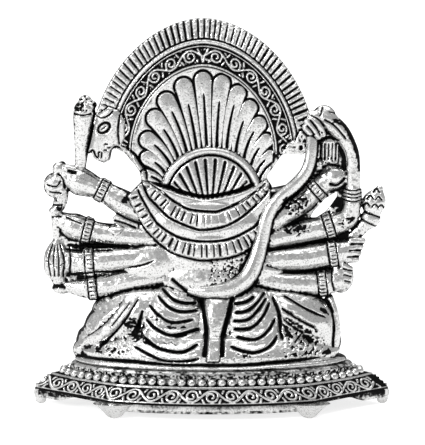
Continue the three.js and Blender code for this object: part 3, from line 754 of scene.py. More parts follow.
def collar_relief():
    relief = Relief((-21, 22), (16, 54), FINE_CELL)
    x, z = relief.x, relief.z
    lines = [smooth(points, 5) for points in COLLAR_LINES]
    levels = [np.interp(x, line[:, 0], line[:, 1]) for line in lines]
    out = np.zeros_like(x)
    for k, (rise, pitch) in enumerate(COLLAR_BANDS):
        high, low, foot = levels[k], levels[k + 1], lines[k + 1]
        band = (z < high) & (z > low) & (x > foot[0, 0]) & (x < foot[-1, 0])
        share = np.clip((z - low) / np.maximum(high - low, 0.05), 0, 1)
        body = rise * np.sqrt(np.clip(1 - (2 * share - 1) ** 4, 0, 1))
        if pitch:
            count = min(len(lines[k]), len(foot))
            middle = (lines[k][:count] + foot[:count]) / 2
            win, _, course, _ = relief.near(middle, 3.2)
            length = np.hypot(*np.diff(middle, axis=0).T).sum()
            bars = np.ones_like(x)
            bars[win] = combed(course * length / pitch + 0.3 * speckle(course * 40, 0 * course, 1.0, 5), 0.17)
            fade = 1 - 0.75 * bump(x, 0.5, 4.5) if k == WORN_BAND else 1
            body -= 0.55 * fade * (1 - bars) * step(np.minimum(share, 1 - share), 0.06, 0.2)
        out = np.where(band, body, out)
    relief.base += out
    for line, (depth, width) in zip(lines, COLLAR_CUTS):
        relief.groove(line, depth, width, taper=0.02, curved=False)
    # The lower back is rough, most of all at the right by the tail
    under = z < levels[-1]
    right = step(x, -2, 2) * step(z, 36.5, 33.5) * under
    grains = rough(x + 30, z, 0.34, 0.21, 0.7, 6)
    worn = 0.35 * right * step(x, 10, 7) * np.clip(grains, 0, 2)
    relief.base += np.where(under, 0.05 * rough(x, z, 0.8, 0.4, 0.7, 3), 0) - worn
    ragged = patches(relief, ((3, 31.6, 4.6, 3.2), (6.6, 34, 2.4, 2), (-4.4, 28, 1.6, 2.2)))
    relief.soil_and_shade += np.where(under, 1.2 * ragged * np.clip(grains - 0.1, 0, 0.6), 0)
    relief.groove([(-9.1, 29.3), (-7.0, 27.6), (-4.8, 25.8)], 0.9, 0.36)
    relief.groove([(11.9, 32.2), (14.5, 31.3), (17.5, 30.6)], 0.8, 0.3)
    relief.grooves(
        (0.5, 0.24, [(-20.6, 36.8), (-13.6, 36.6)]),
        (0.5, 0.24, [(-20.6, 31.2), (-15.7, 32.0), (-11.8, 33.6)]),
        (0.5, 0.24, [(-20.6, 26.8), (-15.7, 27.3), (-12.4, 28.4), (-9.6, 29.8)]),
        taper=0.3,
    )
    return relief


def build_torso():
    bib = [
        *COLLAR_LINES[-1], (13.2, 44), (13, 48.4), (12.4, 51.2),
        *COLLAR_LINES[0][-2:0:-1], (-15.2, 50.8), (-17, 49),
    ]
    parts = [
        slab(bib, -2.3, 0.5),
        egg((-1.6, 0.6, 40.2), (15.6, 4.9, 7.6)),
        egg((-0.8, 1, 34), (12.8, 6, 10)),
        egg((-12, 0.4, 32), (9, 4.2, 5.4), (0, -8, 0)),
        egg((9, 0.4, 31), (8, 4.2, 5)),
        egg((-0.6, -0.2, 28.4), (12, 5.2, 6)),
        egg((-0.5, 4.5, 42.5), (10.5, 5, 6.5)),
        egg((-0.3, 4.5, 32.5), (8.8, 6, 8)),
    ]
    parts += front_heads()
    piece = fuse(parts, "torso", voxel=0.18, relax=3)
    emboss(piece, collar_relief(), torso_front())
    return piece


def front_heads():
    parts = [
        egg((-0.9, 6.4, 52.5), (5.8, 5.6, 6.6)),
        egg((-0.9, 10.6, 50.2), (3.5, 3.1, 2.8)),
        egg((-0.9, 10.6, 54.4), (3.9, 1.6, 1.0)),
        egg((-6.9, 5.8, 52.6), (1.3, 1.6, 2.2)),
        egg((5.1, 5.8, 52.6), (1.3, 1.6, 2.2)),
        egg((-9.8, 3.8, 53), (4.6, 4.4, 5.6)),
        egg((-10.8, 7.4, 51.4), (2.4, 2.4, 2.2)),
        egg((7.7, 3.8, 53), (4.3, 4.4, 5.4)),
        limb([(8.4, 6.6, 53, 1.9), (9.2, 9.2, 51.8, 1.3), (9.6, 10, 50.2, 0.5)]),
    ]
    for x, y, z, radius, high, _ in HEADS:
        parts.append(limb([(x, y, z + share * high, wide * radius) for share, wide in TIERS], blunt=True))
    for side in (-1, 1):
        parts.append(egg((-0.9 + side * 1.7, 11.4, 53.2), (0.95, 0.9, 0.75)))
        parts.append(egg((-10.4 + side * 1.5, 6.9, 53.9), (0.8, 0.9, 0.7)))
        parts.append(egg((7.9 + side * 1.8, 7.2, 54), (0.8, 0.8, 0.7)))
    return parts


def torso_front():
    relief = Relief((-20, 22), (16, 73), COARSE_CELL)
    for drop, wide in ((41, 7.5), (38.2, 8.6)):
        u = np.linspace(-1, 1, 15)
        relief.ridge([(-0.5 + wide * t, drop + 6 * t * t) for t in u], 0.7, 0.5)
    relief.ridge([(-8, 28), (-0.5, 26.4), (7, 28)], 0.8, 0.6)
    relief.grooves(
        (0.3, 0.22, [(-2.9, 49.8), (-0.9, 49.4), (1.1, 49.8)]),
        (0.3, 0.3, [(-0.5, 44.5), (-0.5, 38)]),
        (0.4, 0.3, [(-1.4, 31.4), (-0.3, 31.0), (0.8, 31.4)]),
    )
    for x, _, _, radius, _, eyes in HEADS:
        for k in range(5):
            at = x + (k - 2) * radius * 0.36
            relief.groove([(at, 57.4), (at, 58.6)], 0.4, 0.2, taper=0, curved=False)
        for side in (-1, 1):
            at = x + side * eyes
            relief.groove([(at - 1.0, 54.1), (at, 53.5), (at + 1.0, 54.1)], 0.5, 0.2)
            relief.groove([(at - 1.1, 55.2), (at, 55.7), (at + 1.1, 55.2)], 0.4, 0.18)
    return relief


TAIL = [
    (-4.5, -4.4, 26.6, 0.9), (-1, -4.9, 26.4, 1.5), (3.6, -5.1, 26.9, 1.9), (7.2, -4.8, 28.9, 1.9),
    (9.3, -4.2, 32.2, 1.8), (10.9, -3.6, 37.2, 1.55), (12.4, -3.2, 43.2, 1.45), (14.8, -2.8, 47, 1.35),
    (18.4, -2.4, 50, 1.35), (21.0, -2.0, 53.2, 1.3), (22.0, -1.7, 57.6, 1.25), (21.9, -1.2, 63, 1.2),
]
TAIL_FLAT = 0.72


def build_tail():
    piece = fuse([limb(TAIL)], "tail", voxel=0.16)
    co = read(piece)
    course = smooth(TAIL, 8)
    distance = np.hypot(co[:, :1] - course[None, :, 0], co[:, 2:] - course[None, :, 2])
    nearest = np.argmin(distance, axis=1)
    flatten(piece, course[nearest, 1], TAIL_FLAT)
    # Painted shade: two dark patches down the tail's right edge, beside the top right arm.
    relief = Relief((4, 24), (26, 66), 0.1)
    relief.stain_and_shade([(13.7, 41.6, 0.7, 2.4, -12), (16.0, 46.6, 0.5, 1.4, -45)], 58)
    emboss(piece, relief)
    return piece


# Arms


# Each arm from the top one down: its stations (x, y, z, radius) and the share of it where its bangle sits
LEFT = [
    ([(-15, 0, 43.6, 2.8), (-20.3, 0.5, 46, 2.8), (-24.7, 0.6, 48.5, 2.3), (-29.1, 0.8, 50.3, 3.2),
      (-31.4, 1.2, 51, 2.6)], 0.58),
    ([(-13, 0, 37.9, 2.5), (-20.4, 0.5, 38.3, 2.5), (-26, 0.6, 39.0, 2.4), (-30.5, 0.8, 40.2, 3.0),
      (-33, 1.2, 41.2, 2.2)], 0.72),
    ([(-11, -0.6, 33.5, 2.5), (-18.2, -0.2, 33.2, 2.7), (-23.7, 0, 32.6, 3), (-28, 0.4, 32.2, 3),
      (-31.5, 0.8, 32.4, 2.8)], 0.79),
    ([(-8.5, -0.6, 29.8, 2.5), (-16, -0.4, 28.7, 2.7), (-22.7, 0, 27.2, 2.7), (-28, 0.6, 26.4, 2.4),
      (-33, 1, 26.8, 1.2)], 0.74),
]
RIGHT = [
    ([(13.5, 0, 41.6, 2.6), (19.7, 0.5, 45.4, 2.5), (23.7, 0.6, 49, 2.3), (27, 0.8, 51.4, 2.9)], 0.72),
    ([(12.5, 0, 37.4, 2.4), (19.7, 0.5, 38.9, 2.6), (26.4, 0.6, 40.4, 2.6), (30.4, 0.4, 42.4, 2.4),
      (31.3, 0, 46, 1.9)], 0.62),
    ([(11, -0.4, 32.8, 2.5), (19.7, -0.1, 33.2, 2.9), (25.4, 0.2, 34, 2.8), (30.4, 0.6, 34.8, 2.7)], 0.82),
    ([(10, -0.6, 28.9, 2.5), (17.5, -0.4, 27.6, 2.9), (24.3, 0.2, 27.5, 2.8), (29.2, 0.8, 28.4, 2.6)], 0.76),
]
# The forearm that bends up to the tail
FOREARM = [
    (31.3, 0, 46, 1.8), (31.3, -0.2, 55, 1.6), (30.3, -0.4, 58.6, 1.7), (28.2, -0.5, 61.8, 2),
    (25, -0.6, 64.4, 2.1),
]
BANGLE = 1.7
BANGLE_RISE = 0.5

# The thin metal between the arms, as outlines in X-Z
LEFT_WEB = [(-14, 38), (-30, 40), (-34.6, 39), (-34.6, 30), (-30, 26.6), (-14, 28.6)]
MACE_WEB = [(-27.6, 56.6), (-26.4, 57), (-25.8, 62), (-25.1, 65.5), (-27.5, 66), (-28, 60)]
ARMPIT_WEB = [(-22, 42.2), (-20.4, 45.4), (-16, 43), (-16, 39.8), (-20.5, 40.6), (-21.8, 41.4)]
RIGHT_WEB = [
    (11, 44), (11, 48.8), (14, 49), (18.2, 49.9), (21.4, 53), (22.8, 57), (22.8, 62.5), (28.4, 61.4),
    (30.8, 56), (30.8, 48.2), (28, 48.2), (25.2, 46.4), (22.7, 43.7), (21.9, 42.2), (23.4, 42.2),
    (25.5, 43.6), (26.6, 45), (27.9, 46.9), (28, 48.15), (30.8, 48.1), (30.4, 30), (13, 27.6),
]
# The end of the collar between the top right arm and the halo
COLLAR_END = [(10.6, 45.5), (11, 48.8), (14, 49), (18.2, 49.9), (19, 49), (17, 46.6), (14.6, 44), (12, 43.4)]
# What the hands hold, as stations (x, y, z, radius)
MACE = [
    (-29.1, 0.6, 53.5, 1.2), (-28.8, 0.6, 57.4, 1.6), (-28.5, 0.5, 61, 2.05), (-28.2, 0.4, 64.8, 2.45),
    (-28, 0.4, 66.9, 2.35), (-27.9, 0.4, 68, 1.6),
]
STEM = [
    (-33.2, 0.8, 54, 0.9), (-33.3, 0.8, 48, 1.5), (-33.9, 0.8, 45.2, 1.5), (-34.6, 0.8, 43.4, 1.2),
    (-34.6, 0.8, 38, 0.9),
]
FLASK = [(-34.6, 0.8, 37.6, 0.6), (-34.6, 0.8, 34.5, 2.6), (-34.6, 0.8, 30.6, 2.9), (-34.3, 0.8, 28.4, 1.7)]
HANDLE = [(26.4, 0.6, 53.5, 1.9), (26.1, 0.5, 58.6, 2.3), (25.8, 0.4, 60.2, 1.8)]
CLUB = [
    (31.4, 0.6, 37.6, 1.4), (34.0, 0.6, 40.4, 1.5), (34.9, 0.6, 41.4, 2.1), (35.6, 0.6, 42.4, 2.2),
    (35.8, 0.6, 43.2, 1.9), (36.0, 0.6, 45.2, 2.7), (36.7, 0.6, 47, 2.2), (37.3, 0.6, 48.6, 0.9),
]
CLUB_LEAVES = ((34.4, 45.0), (36.2, 44.8), (37.6, 44.6), (35.2, 46.6), (37, 46.4), (36.6, 48))
# The fingers that grip the tail, and the thumb
GRIP = [
    [(22.0, -2.2, 64.9, 0.85), (23.4, -2.6, 63.1, 0.85), (24.5, -2.2, 61.1, 0.7)],
    [(21.1, -2.2, 63.9, 0.85), (22.4, -2.6, 62.2, 0.8), (23.5, -2.3, 60.5, 0.65)],
    [(20.6, -2.0, 62.6, 0.8), (21.6, -2.5, 61.5, 0.7)],
    [(25.6, -1.3, 65.8, 1.1), (27.6, -1.2, 63.6, 1.0)],
]


def hatch(relief, path, share):
    """Two edge lines and a ladder between them, across a bangle."""
    p, run, want = along(path, share)
    at, ahead = (np.array([np.interp(want + off, run, p[:, k]) for k in (0, 2)]) for off in (0, 0.5))
    ahead -= at
    ahead /= np.linalg.norm(ahead)
    across = np.array([-ahead[1], ahead[0]])
    half = np.interp(want, run, p[:, 3]) + BANGLE_RISE
    for off in (-0.56, 0.56):
        middle = at + ahead * off * BANGLE
        relief.groove([middle - across * half, middle + across * half], 0.6, 0.2, taper=0, curved=False)
    count = round(half * 2 / 0.95)
    rung = ahead * 0.36 * BANGLE
    for k in range(count):
        middle = at + across * half * (2 * (k + 0.5) / count - 1)
        relief.groove([middle - rung, middle + rung], 0.4, 0.15, taper=0, curved=False)


def build_left_arms():
    relief = Relief((-40, 20), (-4, 72), FINE_CELL)
    parts = [limb(path) for path, _ in LEFT]
    parts += [cuff(path, share, BANGLE, BANGLE_RISE) for path, share in LEFT]
    for path, share in LEFT:
        hatch(relief, path, share)
    parts += [
        slab(LEFT_WEB, 0.3, 1.5),
        slab(MACE_WEB, 0.3, 1.1),
        slab(ARMPIT_WEB, -0.9, 1.0),
        limb(MACE, 0.7),
        egg((-26.6, 0.3, 67.4), (1.3, 1.2, 1.0)),
        egg((-35, 0.8, 49.5), (2.4, 2, 2.8)),
        egg((-36.1, 0.4, 50.2), (1.2, 1.3, 1.1)),
        egg((-34.2, 0.2, 51.6), (1.3, 1.3, 1.2)),
        limb(STEM),
        egg((-34.0, 0.2, 53.2), (1.35, 1.2, 1.5)),
        egg((-34.9, 0.6, 43.7), (1.4, 1.3, 1.1)),
        limb(FLASK, 0.9),
        limb([(-30.4, 0.2, 52.6, 1.3), (-32.2, 0, 53.2, 1.1)]),
        limb([(-31, -0.4, 50.6, 1.2), (-33, -0.2, 51.4, 1.1)]),
        egg((-33.6, 0.8, 26.3), (2.2, 1.3, 1.4)),
    ]
    piece = fuse(parts, "left_arms", voxel=0.2, relax=1)
    # The flask's ribs, the mace's rough head and the hands' lines
    for off in (-1.5, -0.5, 0.5, 1.5):
        rib = [(-34.6 + off * 0.4, 37), (-34.6 + off * 1.15, 33), (-34.5 + off * 0.85, 28.6)]
        relief.groove(rib, 0.45, 0.24)
    grain = rough(relief.x, relief.z, 0.55, 0.3, 0.6, 12)
    crown = step(relief.z, 65.4, 66.4) * step(relief.x, -24.5, -25.2)
    relief.base -= 0.5 * crown * np.clip(grain, -0.2, 2)
    relief.grooves(
        (0.3, 0.2, [(-37.2, 33), (-34.6, 31.4), (-32, 33)]),
        (0.4, 0.22, [(-30.6, 65.6), (-28.4, 65.2), (-26.2, 65.6)]),
        (0.4, 0.24, [(-36.8, 49.8), (-34.4, 49.4), (-33.4, 50.8)]),
        (0.35, 0.22, [(-36.2, 48.2), (-34.6, 48), (-33, 47.8)]),
        (0.5, 0.24, [(-34.4, 52.4), (-33, 51.2), (-32.6, 48.6)]),
        (0.6, 0.4, [(-32, 53), (-30.9, 52.6), (-29.8, 52.4)]),
        (0.35, 0.22, [(-32.6, 42.6), (-30, 41.6), (-28.4, 41)]),
        (0.5, 0.4, [(-33, 36.3), (-29.6, 35.6), (-25.4, 36), (-17.6, 35.9)]),
        (0.4, 0.3, [(-33, 35.2), (-29.0, 34.9), (-24.6, 35.1), (-21, 35.2)]),
        (0.45, 0.26, [(-31.8, 36.4), (-31.4, 33), (-31.7, 29.6)]),
        (0.4, 0.24, [(-36, 26.2), (-34, 26.8), (-32.4, 26.2)]),
        (0.5, 0.34, [(-31.6, 29.4), (-27, 30.2), (-20, 30.6), (-15.6, 31.6)]),
        (0.5, 0.2, [(-22, 41.9), (-19.6, 41.2), (-16.6, 40)]),
        (0.5, 0.2, [(-21.4, 43.6), (-19, 42.2), (-16.4, 41.2)]),
    )
    relief.groove([(-33.2, 45.3), (-35.6, 45.1)], 0.35, 0.2, taper=0)
    relief.groove([(-33.6, 42.6), (-35.9, 42.4)], 0.35, 0.2, taper=0)
    relief.pad([(-23.1, 40.0), (-21.3, 41.3), (-19.3, 40.0), (-21.3, 38.4)], 0.4, 1.0)
    relief.stain_and_shade(
        [(-19.4, 46.3, 1.6, 0.8, 20), (-34, 45.0, 0.9, 1.6, 0), (-30.8, 52.7, 1.2, 0.8, -20),
         (-26.5, 36.0, 5, 0.8, 0), (-34.4, 26.9, 2.2, 0.6, 0), (-29.6, 29.9, 2.4, 0.6, 0),
         (-29.0, 67.0, 1.6, 1.2, 0)], 51,
    )
    dark = step(relief.x, -32.5, -31) * step(relief.x, -19, -22) * bump(relief.z, 35.6, 1.0)
    relief.base += 0.06 * grain - 0.4 * dark * np.clip(grain, -0.2, 2)
    emboss(piece, relief, relief)
    return piece


def build_right_arms():
    relief = Relief((8, 20), (42, 72), FINE_CELL)
    parts = [limb(path) for path, _ in RIGHT] + [limb(FOREARM)]
    parts += [cuff(path, share, BANGLE, BANGLE_RISE) for path, share in RIGHT]
    parts += [cuff(FOREARM, share, 0.8, 0.35) for share in (0.03, 0.07, 0.11)]
    for path, share in RIGHT:
        hatch(relief, path, share)
    parts.append(slab(RIGHT_WEB, 0.3, 1.5))
    parts += [
        egg((27.2, 0.4, 51.4), (2.9, 2.7, 2.8)),
        limb(HANDLE, 0.6),
        egg((28.9, 0.6, 28.8), (2.9, 2.3, 3.6)),
        egg((24.8, -0.6, 65), (2.6, 1.9, 2.4)),
        egg((22.9, -1.2, 64.7), (2.3, 1.4, 1.4), (0, 25, 0)),
        *(limb(finger) for finger in GRIP),
        limb(CLUB, 0.8),
    ]
    # The fingers of the two lower hands
    for i in range(4):
        at, high = 31.2 - 0.45 * i, 37.2 - 1.4 * i
        parts.append(limb([(at, -0.6, high, 0.85), (at + 2.4, -0.8, high, 0.75)]))
        knuckle = (29.4 + 0.25 * i, -0.8, 31.6 - 1.3 * i, 0.75)
        parts.append(limb([knuckle, (31.0 - 0.2 * i, -0.6, 30.8 - 1.3 * i, 0.7)]))
    piece = fuse(parts, "right_arms", voxel=0.2, relax=1)
    for i in range(3):
        at, high = 30.6 - 0.35 * i, 36.5 - 1.4 * i
        relief.groove([(at, high), (at + 3.9, high)], 0.5, 0.2)
        relief.groove([(29 + 0.2 * i, 31 - 1.3 * i), (31.6 - 0.2 * i, 30.4 - 1.3 * i)], 0.45, 0.2)
    for k in range(5):
        relief.groove([(24.2 + k * 0.82, 55.0), (24.2 + k * 0.84, 59.2)], 0.6, 0.17, taper=0.1)
    relief.grooves(
        (0.45, 0.28, [(24.3, 64.6), (27, 63), (30.0, 59.6)]),
        (0.3, 0.22, [(25.4, 66.2), (27.6, 65.4), (29.2, 63.6)]),
        (0.5, 0.2, [(21.4, 64.5), (22.9, 62.7), (24.0, 60.7)]),
        (0.5, 0.2, [(20.8, 63.2), (21.9, 62.0), (22.7, 60.8)]),
        (0.5, 0.22, [(21.6, 65.4), (23.4, 64.4), (24.8, 62.6)]),
        (0.4, 0.18, [(24.4, 67.2), (24.1, 65.8), (23.6, 64.9)]),
        (0.8, 0.34, [(25.8, 50.2), (27.5, 49.7), (28.8, 50.5), (29.6, 51.6)]),
        (0.6, 0.3, [(24.4, 53.4), (26.2, 54.2), (28.6, 53.6)]),
        (0.5, 0.24, [(23.8, 59.6), (26.0, 60.3), (28.4, 59.6)]),
        (0.4, 0.24, [(27.0, 32), (26.8, 28.6), (27.4, 25.6)]),
        (0.5, 0.32, [(12, 35.0), (18.6, 35.9), (24.6, 37.2), (28.8, 38.0)]),
        (0.5, 0.34, [(11, 31.2), (16.4, 30.2), (22, 30.4), (26.6, 31.2)]),
        (0.3, 0.2, [(21.0, 53.2), (22.2, 50.8), (21.1, 49.2)]),
    )
    relief.groove([(33.2, 42.0), (36.9, 40.2)], 0.5, 0.2, taper=0)
    relief.groove([(34.2, 43.6), (37.9, 42.2)], 0.5, 0.2, taper=0)
    for at, high in CLUB_LEAVES:
        relief.groove([(at - 0.7, high), (at, high + 0.7), (at + 0.7, high)], 0.5, 0.22, taper=0)
    for high in (46.4, 47.2, 48.0, 48.8):
        relief.groove([(29.3, high), (31.3, high - 0.3), (33.3, high)], 0.6, 0.17, taper=0)
    relief.pad(COLLAR_END, 1.7, 0.8)
    # Dark blotches on the upper arms; the patches at the edge of the hole between the two upper arms and
    # beside the tail are painted shade.
    relief.stain_and_shade(
        [(19, 45.2, 3.8, 1.6, 40), (19.4, 39.9, 3.6, 1.5, 15), (27.8, 45.8, 1.0, 2.2, -30),
         (30.9, 42.0, 1.6, 0.9, 20), (15.2, 46.6, 1.0, 1.8, 20)], 53,
    )
    # Painted shade: a black streak down the outer edge of the forearm that bends up to the tail.
    relief.shade_streak([(25, 64.9), (29.3, 62.9), (31.4, 59.2), (32.5, 55), (32.8, 51.4)], 0.75, 57)
    grain = rough(relief.x, relief.z, 0.55, 0.3, 0.6, 14)
    worn = patches(
        relief,
        ((19, 45.4, 2.6, 2.2), (19.4, 39.6, 2.4, 1.2), (29.3, 41.4, 2, 1.4), (25.6, 55, 2.4, 1.6),
         (24, 61.2, 2, 1.2)),
    )
    relief.base += 0.07 * grain - 0.7 * worn * np.clip(grain, -0.2, 2)
    emboss(piece, relief, relief)
    return piece


# Legs and cloth


# The cloth's folds, the left side's from the top down, then the right side's
FOLDS = [
    [(-8.9, 29.4), (-6.3, 27.2)],
    [(-11.3, 27.2), (-8.7, 25.0), (-6.3, 24.1), (-3.0, 23.8)],
    [(-12.0, 25.6), (-9.6, 23.4), (-6.9, 22.3), (-2.5, 22.3)],
    [(-14.0, 23.8), (-11.8, 21.6), (-8.7, 20.0), (-3.6, 20.5)],
    [(-14.9, 20.9), (-12.5, 18.7), (-9.2, 17.3), (-5.8, 17.6), (-2.5, 18.5)],
    [(-15.3, 17.1), (-12.5, 14.9), (-9.2, 14.0), (-5.9, 14.0), (-2.5, 15.8)],
    [(-17.6, 14.9), (-13.6, 13.1), (-10.3, 11.9), (-5.9, 11.9), (-1.9, 12.8)],
    [(4.5, 23.8), (7.4, 24.3), (9.6, 25.6)],
    [(4.7, 22.0), (7.8, 22.5), (10.2, 24.3), (12.0, 26.5)],
    [(4.3, 20.2), (7.8, 20.6), (10.0, 22.4), (12.4, 25.4)],
    [(4.4, 18.4), (8.5, 18.8), (11.1, 21.0), (13.1, 24.6)],
    [(5.0, 16.9), (9.6, 16.4), (12.5, 18.2), (14.4, 21.2)],
    [(3.6, 15.3), (6.3, 14.2), (9.6, 13.7), (12.9, 14.9), (14.9, 17.6)],
]
LEGS_PATCH = ((-34, 9), (33, 30))
# The oval base the figure sits on: (height, share of its half sizes)
SEAT = (
    (10.0, 0.985), (10.5, 1.0), (11.0, 0.985), (11.2, 0.95), (11.4, 0.94), (12.6, 0.95), (14, 0.9),
    (16.5, 0.76), (18, 0.5),
)
SEAT_X, SEAT_HALF = -0.2, (30.6, 11.6, 1)
LEFT_THIGH = [
    (-10, -0.5, 22.4, 5), (-17.4, 0, 21.4, 5.7), (-21.6, 0.6, 18.6, 5.9), (-25, 1, 15.2, 5.1),
    (-28.6, 0.8, 12.4, 2.7),
]
RIGHT_THIGH = [(10, -0.5, 22.4, 5), (18, 0, 21, 5.8), (22.2, 0.6, 18.6, 6), (23.4, 1, 15, 5.4)]
CLOTH_HEM = [(26.3, 0, 24.2, 1.0), (27.3, 0, 20.5, 1.2), (27.7, 0, 16, 1.3), (27.2, 0, 12.6, 1.3)]
SHIN = [(26.5, 2.6, 14, 4.2), (16, 8, 14.4, 2.9), (6, 9.4, 14.2, 2.6), (1, 9.6, 13.8, 2)]


def legs_back():
    relief = Relief(*LEGS_PATCH, FINE_CELL)
    for points in FOLDS:
        relief.fold(points, 0.85, 0.38, 0.36, 0.85)
    # The sash between the legs
    relief.pad([(-1.9, 25.2), (-0.7, 18.3), (-1.1, 11.9), (1.7, 11.9), (2.0, 17.2), (4.2, 25.2)], 0.9, 0.45)
    relief.groove([(-2.4, 25.4), (-1.2, 18.3), (-1.7, 12.6)], 1.1, 0.4, taper=0.05)
    relief.groove([(4.8, 25.4), (2.6, 17.2), (2.3, 12.6)], 1.1, 0.4, taper=0.05)
    # The thighs' creases and rolls of cloth
    relief.ridge([(-17.0, 25.4), (-21.9, 18.8), (-28.2, 13.6)], 0.5, 0.9, taper=0.2)
    relief.ridge([(15.2, 24.4), (19.7, 21.5), (25.3, 18.2)], 0.6, 0.8, taper=0.2)
    relief.ridge([(26.7, 24.5), (28.6, 19.3), (28.6, 12.6)], 0.5, 0.7, taper=0.1)
    relief.grooves(
        (0.9, 0.4, [(13.3, 25.6), (14.9, 21.6), (15.2, 18), (15.9, 15.5)]),
        (0.6, 0.35, [(-15.2, 22.6), (-15.9, 20), (-16.6, 17.2)]),
        (0.5, 0.3, [(-15.8, 25.4), (-20.2, 18.8), (-25.5, 13.0)]),
        (0.35, 0.25, [(-17.8, 24.4), (-22.6, 18.2)]),
        (0.5, 0.3, [(15.6, 25.6), (20.5, 22.8), (25.8, 20.2)]),
        (0.5, 0.3, [(15.0, 23.2), (19.2, 20.4), (23.4, 18.2)]),
        (0.5, 0.26, [(15.6, 20.6), (18.2, 18.4), (20.6, 17)]),
        (0.6, 0.3, [(25.9, 24.2), (27.2, 19.3), (27.0, 13)]),
    )
    crevice = [(-29.2, 11.3), (-17.9, 11.5), (-13.5, 11.2), (-2, 11.0), (8.5, 11.0), (14, 11.4), (27.4, 12.0)]
    relief.groove(crevice, 0.9, 0.34, taper=0.2)
    relief.stain_and_shade(
        [(-17.6, 19.6, 2.4, 1.1, 25), (-16.2, 17.6, 1.5, 2.6, 0), (-14.2, 15.6, 1.6, 1.2, -30),
         (-25.4, 13.4, 1.1, 0.8, 0), (19.4, 18.6, 5.0, 0.8, -32), (21.4, 16.0, 2.6, 1.2, -30),
         (17.0, 17.6, 0.9, 2.8, 15), (19.8, 12.9, 4.6, 0.6, 0), (25.4, 21.6, 2.6, 0.6, -35),
         (7.6, 12.9, 2.6, 0.7, 0), (-8, 19.2, 3.4, 0.7, 0), (-6.4, 17.0, 3.0, 0.6, 10),
         (-10.6, 24.4, 2.2, 0.5, -40), (25.8, 12.8, 2.0, 0.7, 0)], 55,
    )
    grain = rough(relief.x, relief.z, 0.5, 0.3, 0.6, 21)
    worn = patches(
        relief,
        ((-17.0, 18.4, 2.8, 2.6), (17.4, 20.6, 2.2, 2.4), (20.6, 15.6, 4.6, 2.4), (19.6, 12.8, 5, 0.9),
         (-22.5, 13.6, 4, 1.5), (-12, 21, 1.8, 1.5), (8, 13, 4, 1)),
    )
    relief.base += 0.07 * grain - 0.6 * worn * np.clip(grain, -0.2, 2)
    return relief


def legs_front():
    relief = Relief(*LEGS_PATCH, 0.15)
    for side in (-1, 1):
        for k in range(4):
            relief.groove([(side * (8 + 4 * k), 12.2), (side * (10 + 4 * k), 17.5)], 0.3, 0.3)
    return relief


def build_legs():
    parts = []
    for (low, wide), (high, narrow) in zip(SEAT, SEAT[1:]):
        deselect()
        bpy.ops.mesh.primitive_cone_add(
            vertices=120, radius1=wide, radius2=narrow, depth=high - low + 0.02,
            location=(SEAT_X, 0, (low + high) / 2),
        )
        ring = bpy.context.object
        ring.scale = SEAT_HALF
        bpy.ops.object.transform_apply(location=True, rotation=True, scale=True)
        parts.append(ring)
    parts += [limb(LEFT_THIGH), limb(RIGHT_THIGH), limb(CLOTH_HEM)]
    for side in (-1, 0.95):
        parts.append(limb([(x * side, y, z, r) for x, y, z, r in SHIN]))
        parts.append(egg((8.7 * side, -1.2, 18.9), (8.9, 6.6, 8.9)))
        parts.append(egg((9.4 * side, -2.2, 15.4), (9, 6.6, 6)))
        parts.append(egg((17.5 * side, 0.2, 16), (8, 5.6, 7)))
        parts.append(egg((4.5 * side, 9.6, 12.6), (4.2, 1.6, 1.5)))
    parts.append(egg((-21, 0.4, 20.8), (6, 4.6, 4.8)))
    parts.append(egg((1, -2.2, 18), (5, 5.6, 8.6)))
    parts.append(egg((0, 5, 14), (20, 5, 4.4)))
    parts.append(egg((0.8, -1.4, 14), (14.5, 7.8, 4)))
    piece = fuse(parts, "legs", voxel=0.18, relax=2)
    emboss(piece, legs_back(), legs_front())
    co = read(piece)
    co[:, 2] = np.maximum(co[:, 2], PLINTH_TOP)
    write(piece, co)
    return piece


# Plinth


# Half sizes: the oval under the figure, the outline's corner between its long side and its end, the outline
OVAL = (31.0, 12.5)
CORNER = (22.8, 13.16)
CORNER_TURN = math.atan2(CORNER[1], CORNER[0])
PLINTH_HALF = (40.0, 16.8)
# The middle of a foot under a long side and under an end, and the feet as signs of x and y
SIDE_FOOT = (21.2, 14.1)
END_FOOT = (38.55, 0.0)
FEET = ((1, 0), (-1, 0), (1, 1), (-1, -1), (-1, 1), (1, -1))
FOOT_HEIGHTS = (3.4, 2.6, 1.4, 0.5, 0.08)
SIDE_FOOT_RADII = (4.8, 3.6, 2.3, 1.5, 0.5)
END_FOOT_RADII = (1.4, 1.4, 1.3, 1.1, 0.5)
FOOT_FLAT, FOOT_DARK = 0.5, 0.26

# The profile from under the plinth's middle, out, round the skirt and in over its top: (reach, height).
# A reach of 1 is the oval, 2 the outline.
PROFILE = [
    (0.0, 8.5), (0.5, 8.5), (0.85, 8.5), (0.9, 6.8), (0.95, 5.0), (1.2, 4.95), (1.42, 4.9), (1.65, 3.9),
    (1.85, 3.1), (1.87, 2.3), (1.87, 1.7), (1.93, 1.5), (1.99, 1.65), (2.0, 2.2), (2.0, 3.0), (1.995, 3.25),
    (1.982, 3.4), (1.985, 3.6), (1.97, 3.85), (1.88, 4.5), (1.8, 5.1), (1.71, 5.8), (1.63, 6.35),
    (1.605, 6.5), (1.585, 6.9), (1.56, 7.15), (1.53, 7.15), (1.505, 7.0), (1.49, 6.95), (1.45, 6.85),
    (1.3, 6.8), (1.12, 6.9), (1.1, 7.1), (1.095, 7.6), (1.09, 8.4), (1.08, 9.0), (1.07, 9.4), (1.045, 9.7),
    (1.0, 9.9), (0.96, 9.95), (0.9, 9.9), (0.5, 9.9), (0.0, 9.9),
]
# The frieze's band as the reach of its outer and inner edge, and the bead row's reach and height
FRIEZE = (1.965, 1.61)
BEAD_COURSE = (1.31, 7.75)
BEAD_HALF = (1.02, 1.02, 0.92)
# Points of the skin round the plinth and along its profile
AROUND, ROWS = 900, 150
TURNS = np.linspace(0, 2 * math.pi, 4000)


